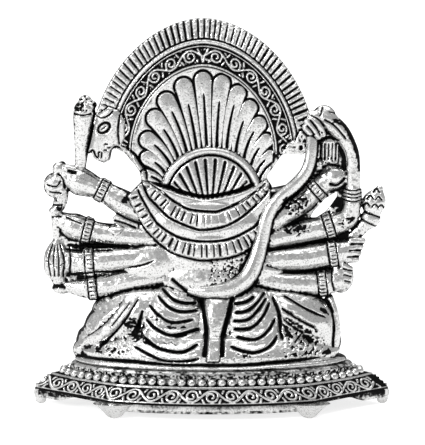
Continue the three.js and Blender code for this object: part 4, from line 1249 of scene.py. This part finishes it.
def rim_radius(turn):
    """The outline's distance from the middle: arched long sides, and ends that run to a slight point."""
    x, y = np.abs(np.cos(turn)), np.abs(np.sin(turn))
    t = np.arctan2(y, x)
    sag = PLINTH_HALF[1] - CORNER[1]
    radius = (CORNER[0] ** 2 + sag**2) / (2 * sag)
    offset = PLINTH_HALF[1] - radius
    long_side = offset * y + np.sqrt(np.clip(radius**2 - (offset * x) ** 2, 0, None))
    run = PLINTH_HALF[0] - CORNER[0]
    hollow = 1 - 0.02 * np.sin(math.pi * t / CORNER_TURN)
    end = PLINTH_HALF[0] * CORNER[1] / (x * CORNER[1] + y * run) * hollow
    return np.where(t >= CORNER_TURN, long_side, end)


def oval_radius(turn):
    return 1 / np.hypot(np.cos(turn) / OVAL[0], np.sin(turn) / OVAL[1])


def plinth_relief(length):
    """The scroll frieze, over a strip as long as the plinth's edge and as high as the frieze."""
    relief = Relief((-2, -2.6), (length + 2, 2.6), FINE_CELL)
    count = 2 * round(length / 3.95 / 2)

    def stroke(points):
        relief.ridge(points, 0.5, 0.19, curved=False)

    scroll(lambda points: points, stroke, count, length / count, 0.0)
    return relief


def profile_rows():
    """The profile at the skin's rows: reach, height, and which lie outside. Rows are closest at the frieze."""
    profile = np.array(PROFILE)
    run = np.concatenate([[0], np.cumsum(np.hypot(*(np.diff(profile, axis=0) * [6.5, 1]).T))])
    weight = np.interp(profile[:, 0], [0, 0.9, 1.05, 2.0], [0.1, 0.25, 0.8, 1.1])
    cost = np.concatenate([[0], np.cumsum(np.diff(run) * (weight[1:] + weight[:-1]) / 2)])
    at = np.linspace(0, cost[-1], ROWS)
    reach, height = (np.interp(at, cost, profile[:, k]) for k in (0, 1))
    return reach, height, at > cost[np.argmax(profile[:, 0])]


class PlinthSkin:
    """The plinth without beads and feet, and where each of its vertices lies on it."""

    def __init__(self):
        deselect()
        bpy.ops.mesh.primitive_grid_add(x_subdivisions=AROUND, y_subdivisions=ROWS - 1, size=1)
        self.piece = bpy.context.object
        self.piece.name = self.piece.data.name = "plinth_casting"
        grid = read(self.piece) + 0.5
        share = np.round(grid[:, 0] * AROUND) / AROUND
        row = np.clip(np.round(grid[:, 1] * (ROWS - 1)).astype(int), 0, ROWS - 1)
        self.reach, height, self.outer = (values[row] for values in profile_rows())
        middle = 0.5 * (oval_radius(TURNS) + rim_radius(TURNS))
        edge = run_of(middle * np.cos(TURNS), middle * np.sin(TURNS))
        self.length = edge[-1]
        self.run = share * self.length
        turn = np.interp(self.run, edge, TURNS)
        r = np.minimum(self.reach, 1) * oval_radius(turn)
        r = r + np.maximum(self.reach - 1, 0) * (rim_radius(turn) - oval_radius(turn))
        # Along the slanting end edges the skirt is cut up into shallow arches between the feet
        t = np.arctan2(np.abs(np.sin(turn)), np.abs(np.cos(turn)))
        self.slanted = step(t, CORNER_TURN, CORNER_TURN - 0.1)
        lift = 1.5 * step(t, 0.1, 0.22) * step(t, CORNER_TURN - 0.02, CORNER_TURN - 0.12)
        self.z = height + lift * step(height, 3.2, 1.2)
        self.co = np.stack([r * np.cos(turn), r * np.sin(turn), self.z], 1)
        write(self.piece, self.co)

    def carve(self):
        """Carves the frieze into the sloping band and keeps the skin inside the outline's box."""
        n = normals(self.piece)
        n *= np.sign(n[:, 2:])
        band = (FRIEZE[0] - self.reach) / (FRIEZE[0] - FRIEZE[1])
        self.on_band = self.outer & (band > 0) & (band < 1)
        self.cut = plinth_relief(self.length).at(self.run, (band - 0.5) * 3.1)
        fade = step(band, 0, 0.08) * step(band, 1, 0.92)
        self.co += n * np.where(self.on_band, self.cut * fade, 0)[:, None]
        limit = np.array(PLINTH_HALF) - 0.002
        self.co[:, :2] = np.clip(self.co[:, :2], -limit, limit)
        write(self.piece, self.co)

    def depths(self):
        """How black each vertex is."""
        reach, outer, z = self.reach, self.outer, self.z
        grain = speckle(self.co[:, 0] + 50, self.co[:, 1] + self.co[:, 2] + 50, 0.5, 41)
        fleck = speckle(90 + self.run, 3 * z, 0.32, 42)
        ground = np.clip(1 - 2.4 * self.cut, 0, 1) * (0.88 + 0.4 * np.minimum(fleck, 0))
        wall = outer & (reach > 1.075) & (reach < 1.115)
        channel = outer & (reach > 1.11) & (reach < 1.51)
        crests = outer & ((np.abs(reach - 1.55) < 0.04) | (np.abs(reach - 1.972) < 0.012))
        creases = outer & ((np.abs(reach - 1.603) < 0.012) | ((np.abs(reach - 1.987) < 0.006) & (z > 3.1)))
        skirt = outer & (z < 3.3) & (reach > 1.9)
        skirt_depth = 0.25 + 0.04 * grain + 0.16 * step(z, 2.4, 3.1) + self.slanted * (0.2 + 0.3 * fleck)
        dark = np.where(self.on_band, 0.2 + ground, 0.4 + 0.25 * grain)
        for zone, depth in (
            (wall, 0.5 + 0.5 * fleck),
            (channel, 1.0),
            (crests, 0.12 + 0.3 * np.clip(fleck, 0, 1)),
            (creases, 0.9),
            (skirt, skirt_depth),
            (~outer & (reach < 1.86), 0.6),
        ):
            dark = np.where(zone, depth, dark)
        return dark


def bead_places(count):
    """Even places along the bead row."""
    r = oval_radius(TURNS) + (BEAD_COURSE[0] - 1) * (rim_radius(TURNS) - oval_radius(TURNS))
    xs, ys = r * np.cos(TURNS), r * np.sin(TURNS)
    run = run_of(xs, ys)
    at = run[-1] * (np.arange(count) + 0.5) / count
    return [(np.interp(s, run, xs), np.interp(s, run, ys), BEAD_COURSE[1]) for s in at]


def plinth_foot(x, y, radii):
    """A lobed foot, marked half bright."""
    lobe = limb([(x, y, z, radius) for z, radius in zip(FOOT_HEIGHTS, radii)], blunt=True)
    flatten(lobe, y, FOOT_FLAT)
    mark(lobe, np.full(len(read(lobe)), FOOT_DARK))
    return lobe


def build_plinth(sizes):
    skin = PlinthSkin()
    skin.carve()
    piece = skin.piece
    mark(piece, skin.depths())
    select(piece)
    bpy.ops.object.mode_set(mode="EDIT")
    bpy.ops.mesh.select_all(action="SELECT")
    bpy.ops.mesh.remove_doubles(threshold=0.002)
    bpy.ops.mesh.normals_make_consistent(inside=False)
    bpy.ops.object.mode_set(mode="OBJECT")
    thin(piece, PLINTH_SKIN_TRIANGLES)
    parts = [piece, *copies(egg((0, 0, 0), BEAD_HALF, segments=14), bead_places(sizes.bead_count))]
    for along_x, along_y in FEET:
        middle, radii = (SIDE_FOOT, SIDE_FOOT_RADII) if along_y else (END_FOOT, END_FOOT_RADII)
        parts.append(plinth_foot(along_x * middle[0], along_y * middle[1], radii))
    select(*parts)
    bpy.ops.object.join()
    return piece


# Finish


def blur(grid, sigma):
    """A Gaussian blur, sigma in cells."""
    reach = max(1, int(3 * sigma + 0.5))
    kernel = np.exp(-0.5 * (np.arange(-reach, reach + 1) / sigma) ** 2)
    kernel /= kernel.sum()
    for axis in (0, 1):
        out = np.zeros_like(grid)
        for k, weight in zip(range(-reach, reach + 1), kernel):
            out += weight * np.roll(grid, k, axis)
        grid = out
    return grid


# The tarnish map: its lower left corner in X-Z, its cell, its rows and columns, and the mark of an empty cell
MAP_LOW, MAP_CELL, MAP_SHAPE, MAP_EMPTY = (-44.0, -3.0), 0.2, (470, 440), -99.0


def on_map(co):
    """The columns and rows of points on the tarnish map."""
    return (co[:, 0] - MAP_LOW[0]) / MAP_CELL, (co[:, 2] - MAP_LOW[1]) / MAP_CELL


def tarnish_map(clouds, sign):
    """The nearest surface seen along Y, blurred at two widths, and where there is any."""
    deep = np.full(MAP_SHAPE, MAP_EMPTY)
    for co in clouds:
        u, v = on_map(co)
        np.maximum.at(deep, (v.astype(int), u.astype(int)), sign * co[:, 1])
    for _ in range(2):
        around = [np.roll(deep, (a, b), (0, 1)) for a in (-1, 0, 1) for b in (-1, 0, 1)]
        deep = np.where(deep == MAP_EMPTY, np.max(around, axis=0), deep)
    solid = (deep > MAP_EMPTY).astype(float)
    filled = np.where(solid > 0, deep, 0)
    layers = []
    for width in (0.5, 1.3):
        share = blur(solid, width / MAP_CELL)
        layers.append(blur(filled, width / MAP_CELL) / np.maximum(share, 1e-3))
    return layers, solid


def tarnish(pieces):
    """Stores how deep in a recess each vertex lies, plus stains and painted shade, 0 on the polished heights
    to 1.
    """
    maps = [tarnish_map(SKINS, sign) for sign in (-1, 1)]
    for piece in pieces:
        co, n = read(piece) / MM, normals(piece)
        u, v = on_map(co)
        total = np.zeros(len(co))
        for (layers, solid), relief, sign in zip(maps, CARVINGS[piece.name], (-1, 1)):
            deep = np.zeros(len(co))
            for layer, scale, share in zip(layers, (0.4, 1.1), (0.6, 0.4)):
                deep += share * np.clip((sample(layer, u, v) - sign * co[:, 1]) / scale, -0.3, 1.2)
            total += step(sign * n[:, 1], -0.3, 0.3) * deep
            if relief is not None:
                total += step(sign * n[:, 1], -0.1, 0.3) * relief.shade(co[:, 0], co[:, 2])
        # The outer edge of the halo's plate, with open air beyond it, is worn bright
        air = step(sample(solid, u + n[:, 0] / MAP_CELL, v + n[:, 2] / MAP_CELL), 0.5, 0.1)
        worn = air * step(np.abs(n[:, 1]), 0.7, 0.3) * step(co[:, 2], 62, 64) * (piece.name == "halo")
        mark(piece, np.clip(total, 0, 1) * (1 - 0.75 * worn))


def socket(group, name, kind, way, default=None):
    """Adds an input or output to a node group."""
    made = group.interface.new_socket(name=name, in_out=way, socket_type=kind)
    if default is not None:
        made.default_value = default
    return made


def antique_group():
    """Colour, roughness and metal share of silver blackened in its recesses."""
    group = bpy.data.node_groups.new("Antique silver", "ShaderNodeTree")
    socket(group, "Silver", "NodeSocketColor", "INPUT", (0.8, 0.8, 0.78, 1))
    socket(group, "Black", "NodeSocketColor", "INPUT", (0.01, 0.01, 0.01, 1))
    socket(group, "Depth", "NodeSocketFloat", "INPUT", 1.0)
    socket(group, "Colour", "NodeSocketColor", "OUTPUT")
    socket(group, "Roughness", "NodeSocketFloat", "OUTPUT")
    socket(group, "Metal", "NodeSocketFloat", "OUTPUT")
    socket(group, "Height", "NodeSocketFloat", "OUTPUT")
    nodes, links = group.nodes, group.links
    enter, leave = nodes.new("NodeGroupInput"), nodes.new("NodeGroupOutput")
    recess = nodes.new("ShaderNodeAttribute")
    recess.attribute_name = "tarnish"
    coordinates = nodes.new("ShaderNodeTexCoord")

    def noise(scale, detail, roughness=0.55):
        node = nodes.new("ShaderNodeTexNoise")
        node.inputs["Scale"].default_value = scale
        node.inputs["Detail"].default_value = detail
        node.inputs["Roughness"].default_value = roughness
        links.new(coordinates.outputs["Object"], node.inputs["Vector"])
        return node.outputs["Fac"]

    def calc(operation, a, b, clamp=False):
        node = nodes.new("ShaderNodeMath")
        node.operation = operation
        node.use_clamp = clamp
        for k, value in enumerate((a, b)):
            if isinstance(value, (int, float)):
                node.inputs[k].default_value = value
            else:
                links.new(value, node.inputs[k])
        return node.outputs[0]

    def remap(value, low, high, out_low=0.0, out_high=1.0):
        node = nodes.new("ShaderNodeMapRange")
        node.interpolation_type = "SMOOTHSTEP"
        for key, number in (("From Min", low), ("From Max", high), ("To Min", out_low), ("To Max", out_high)):
            node.inputs[key].default_value = number
        links.new(value, node.inputs["Value"])
        return node.outputs["Result"]

    clouds = noise(220, 3)
    grains = noise(2600, 2, 0.6)
    stained = calc("ADD", recess.outputs["Fac"], calc("MULTIPLY", calc("SUBTRACT", clouds, 0.5), 0.5))
    stained = calc("ADD", stained, calc("MULTIPLY", calc("SUBTRACT", grains, 0.5), 0.35))
    stained = calc("MULTIPLY", stained, enter.outputs["Depth"])
    pits = remap(noise(3000, 2, 0.7), 0.45, 0.36)
    dark = calc("MAXIMUM", remap(stained, 0.26, 0.62), calc("MULTIPLY", pits, 0.6))
    mix = nodes.new("ShaderNodeMix")
    mix.data_type = "RGBA"
    links.new(dark, mix.inputs["Factor"])
    links.new(enter.outputs["Silver"], mix.inputs["A"])
    links.new(enter.outputs["Black"], mix.inputs["B"])
    links.new(mix.outputs["Result"], leave.inputs["Colour"])
    worn = remap(noise(500, 4, 0.65), 0.35, 0.7, 0.17, 0.34)
    links.new(calc("ADD", worn, calc("MULTIPLY", dark, 0.4)), leave.inputs["Roughness"])
    links.new(remap(dark, 0.2, 1.0, 1.0, 0.95), leave.inputs["Metal"])
    links.new(calc("ADD", noise(900, 3), calc("MULTIPLY", noise(3200, 2), 0.6)), leave.inputs["Height"])
    return group


def antique_material(name, silver, black, depth, bump_height=0.00008):
    """A material of the group above; depth scales its tarnish, bump_height is in metres."""
    material = bpy.data.materials.new(name)
    material.use_nodes = True
    nodes, links = material.node_tree.nodes, material.node_tree.links
    shader = nodes["Principled BSDF"]
    group = nodes.new("ShaderNodeGroup")
    group.node_tree = bpy.data.node_groups.get("Antique silver") or antique_group()
    group.inputs["Silver"].default_value = (*silver, 1)
    group.inputs["Black"].default_value = (*black, 1)
    group.inputs["Depth"].default_value = depth
    bump_node = nodes.new("ShaderNodeBump")
    bump_node.inputs["Strength"].default_value = 0.5
    bump_node.inputs["Distance"].default_value = bump_height
    links.new(group.outputs["Colour"], shader.inputs["Base Color"])
    links.new(group.outputs["Roughness"], shader.inputs["Roughness"])
    links.new(group.outputs["Metal"], shader.inputs["Metallic"])
    links.new(group.outputs["Height"], bump_node.inputs["Height"])
    links.new(bump_node.outputs["Normal"], shader.inputs["Normal"])
    return material


# Add-on


class SHRINE_PG_casting(bpy.types.PropertyGroup):
    halo_half_width: FloatProperty(
        name="Halo half width", description="From the halo's middle to its side",
        default=0.0249, unit="LENGTH",
    )
    halo_rise: FloatProperty(
        name="Halo rise", description="From the halo's centre to its top", default=0.02917, unit="LENGTH"
    )
    flute_pitch: FloatProperty(
        name="Flute pitch", description="Distance between two flutes of the rim",
        default=0.00148, unit="LENGTH",
    )
    petals_each_side: IntProperty(
        name="Petals each side", description="Lotus petals on each side of the middle one",
        default=6, min=0, max=6,
    )


class SHRINE_PG_plinth(bpy.types.PropertyGroup):
    bead_count: IntProperty(
        name="Beads", description="Beads in the row round the plinth", default=70, min=12, max=120
    )


class SHRINE_PG_finish(bpy.types.PropertyGroup):
    silver: FloatVectorProperty(
        name="Silver", description="Colour of the polished metal", default=(0.6, 0.6, 0.595), subtype="COLOR"
    )
    black: FloatVectorProperty(
        name="Tarnish", description="Colour of the black in the recesses", default=(0.004, 0.004, 0.004),
        subtype="COLOR",
    )
    floor: FloatVectorProperty(
        name="Floor", description="Colour of the studio floor", default=(0.5, 0.5, 0.5), subtype="COLOR"
    )


def silver_material(finish):
    """The one material of the figure's pieces."""
    made = bpy.data.materials.get("Figure silver")
    return made or antique_material("Figure silver", finish.silver, finish.black, 1.0)


def finish_figure_piece(context, piece, triangles):
    thin(piece, triangles)
    complete(piece, "figure", silver_material(context.scene.shrine_finish))


class SHRINE_OT_halo(bpy.types.Operator):
    """Casts the lotus halo with its fluted rim, the outer head and the shoulder at its other end"""

    bl_idname = "shrine.halo"
    bl_label = "Halo"

    def execute(self, context):
        finish_figure_piece(context, build_halo(context.scene.shrine_casting), HALO_TRIANGLES)
        return {"FINISHED"}


class SHRINE_OT_torso(bpy.types.Operator):
    """Casts the torso with its collars and the front heads"""

    bl_idname = "shrine.torso"
    bl_label = "Torso"

    def execute(self, context):
        finish_figure_piece(context, build_torso(), TORSO_TRIANGLES)
        return {"FINISHED"}


class SHRINE_OT_tail(bpy.types.Operator):
    """Casts the raised tail"""

    bl_idname = "shrine.tail"
    bl_label = "Tail"

    def execute(self, context):
        finish_figure_piece(context, build_tail(), TAIL_TRIANGLES)
        return {"FINISHED"}


class SHRINE_OT_arms(bpy.types.Operator):
    """Casts the arms of both sides with what they hold"""

    bl_idname = "shrine.arms"
    bl_label = "Arms"

    def execute(self, context):
        finish_figure_piece(context, build_left_arms(), LEFT_ARMS_TRIANGLES)
        finish_figure_piece(context, build_right_arms(), RIGHT_ARMS_TRIANGLES)
        return {"FINISHED"}


class SHRINE_OT_legs(bpy.types.Operator):
    """Casts the folded legs, the pleated cloth and the oval base"""

    bl_idname = "shrine.legs"
    bl_label = "Legs"

    def execute(self, context):
        finish_figure_piece(context, build_legs(), LEGS_TRIANGLES)
        return {"FINISHED"}


class SHRINE_OT_plinth(bpy.types.Operator):
    """Casts the footed plinth with its beads and scroll frieze"""

    bl_idname = "shrine.plinth"
    bl_label = "Plinth"

    def execute(self, context):
        finish = context.scene.shrine_finish
        piece = build_plinth(context.scene.shrine_plinth)
        thin(piece, PLINTH_TRIANGLES)
        silver = [0.94 * c for c in finish.silver]
        material = antique_material("Plinth silver", silver, finish.black, 1.1)
        complete(piece, "plinth", material)
        return {"FINISHED"}


class SHRINE_OT_tarnish(bpy.types.Operator):
    """Blackens the recesses of the figure's pieces and adds their stains and painted shade"""

    bl_idname = "shrine.tarnish"
    bl_label = "Tarnish"

    def execute(self, context):
        pieces = [bpy.data.objects[name] for name in CARVINGS]
        if not pieces:
            raise RuntimeError("there are no pieces to tarnish")
        tarnish(pieces)
        return {"FINISHED"}


# The stage in metres: a glowing floor, a soft sun, a lamp and a white sky
FLOOR_GLOW, SKY_STRENGTH = 0.8, 0.6
SUN_ANGLE, SUN_ENERGY = math.radians(60), 2.05
LAMP_AT, LAMP_SIZE, LAMP_ENERGY = (-0.75, -0.75, 0.55), 0.3, 9
# The camera: what it looks at, how far off and how high it stands, and its lens in mm, which is the
# photograph's focal length over its width in pixels, times the width of the sensor
TARGET, CAMERA_DISTANCE, CAMERA_RISE = (0.0002, 0.0, 0.0412), 0.4, math.radians(8)
LENS = 1796 * 36 / 445


class SHRINE_OT_stage(bpy.types.Operator):
    """Sets up the pale floor, the soft lights and the camera"""

    bl_idname = "shrine.stage"
    bl_label = "Stage"

    def execute(self, context):
        deselect()
        bpy.ops.mesh.primitive_plane_add(size=40, location=(0, 12, 0))
        floor = context.object
        floor.name = "studio_floor"
        paint = bpy.data.materials.new("Studio floor")
        paint.use_nodes = True
        shader = paint.node_tree.nodes["Principled BSDF"]
        shader.inputs["Base Color"].default_value = (*context.scene.shrine_finish.floor, 1)
        shader.inputs["Roughness"].default_value = 0.9
        shader.inputs["Emission Color"].default_value = (1, 1, 1, 1)
        shader.inputs["Emission Strength"].default_value = FLOOR_GLOW
        floor.data.materials.append(paint)
        target = np.array(TARGET)
        bpy.ops.object.light_add(type="SUN", location=(0, 0.1, 1))
        sun = context.object
        sun.data.angle, sun.data.energy = SUN_ANGLE, SUN_ENERGY
        sun.rotation_euler = Vector((0, -0.1, -1)).to_track_quat("-Z", "Y").to_euler()
        bpy.ops.object.light_add(type="AREA", location=LAMP_AT)
        lamp = context.object
        lamp.data.size, lamp.data.energy = LAMP_SIZE, LAMP_ENERGY
        lamp.rotation_euler = (Vector(target) - lamp.location).to_track_quat("-Z", "Y").to_euler()
        world = bpy.data.worlds.new("Studio")
        world.use_nodes = True
        world.node_tree.nodes["Background"].inputs["Color"].default_value = (1, 1, 1, 1)
        world.node_tree.nodes["Background"].inputs["Strength"].default_value = SKY_STRENGTH
        context.scene.world = world
        context.scene.view_settings.view_transform = "Standard"
        back = np.array([0, -math.cos(CAMERA_RISE), math.sin(CAMERA_RISE)])
        bpy.ops.object.camera_add(location=target + CAMERA_DISTANCE * back)
        camera = context.object
        camera.rotation_euler = Vector(-back).to_track_quat("-Z", "Y").to_euler()
        camera.data.lens = LENS
        camera.data.clip_end = 100
        context.scene.camera = camera
        return {"FINISHED"}


class SHRINE_PT_panel(bpy.types.Panel):
    bl_idname = "SHRINE_PT_panel"
    bl_label = "Shrine Figure"
    bl_space_type = "VIEW_3D"
    bl_region_type = "UI"
    bl_category = "Shrine Figure"

    def draw(self, context):
        layout = self.layout
        for name in GROUPS:
            group = getattr(context.scene, name)
            for key in group.__annotations__:
                layout.prop(group, key)
        for operator in OPERATORS:
            layout.operator(operator.bl_idname)


GROUPS = {
    "shrine_casting": SHRINE_PG_casting,
    "shrine_plinth": SHRINE_PG_plinth,
    "shrine_finish": SHRINE_PG_finish,
}
OPERATORS = (
    SHRINE_OT_halo,
    SHRINE_OT_torso,
    SHRINE_OT_tail,
    SHRINE_OT_arms,
    SHRINE_OT_legs,
    SHRINE_OT_plinth,
    SHRINE_OT_tarnish,
    SHRINE_OT_stage,
)


def register():
    for group in (*GROUPS.values(), *OPERATORS, SHRINE_PT_panel):
        bpy.utils.register_class(group)
    for name, group in GROUPS.items():
        setattr(bpy.types.Scene, name, PointerProperty(type=group))


def unregister():
    for name in GROUPS:
        delattr(bpy.types.Scene, name)
    for group in reversed((*GROUPS.values(), *OPERATORS, SHRINE_PT_panel)):
        bpy.utils.unregister_class(group)


def main():
    register()
    for operator in OPERATORS:
        getattr(bpy.ops.shrine, operator.bl_idname.split(".")[1])()


if __name__ == "__main__":
    main()
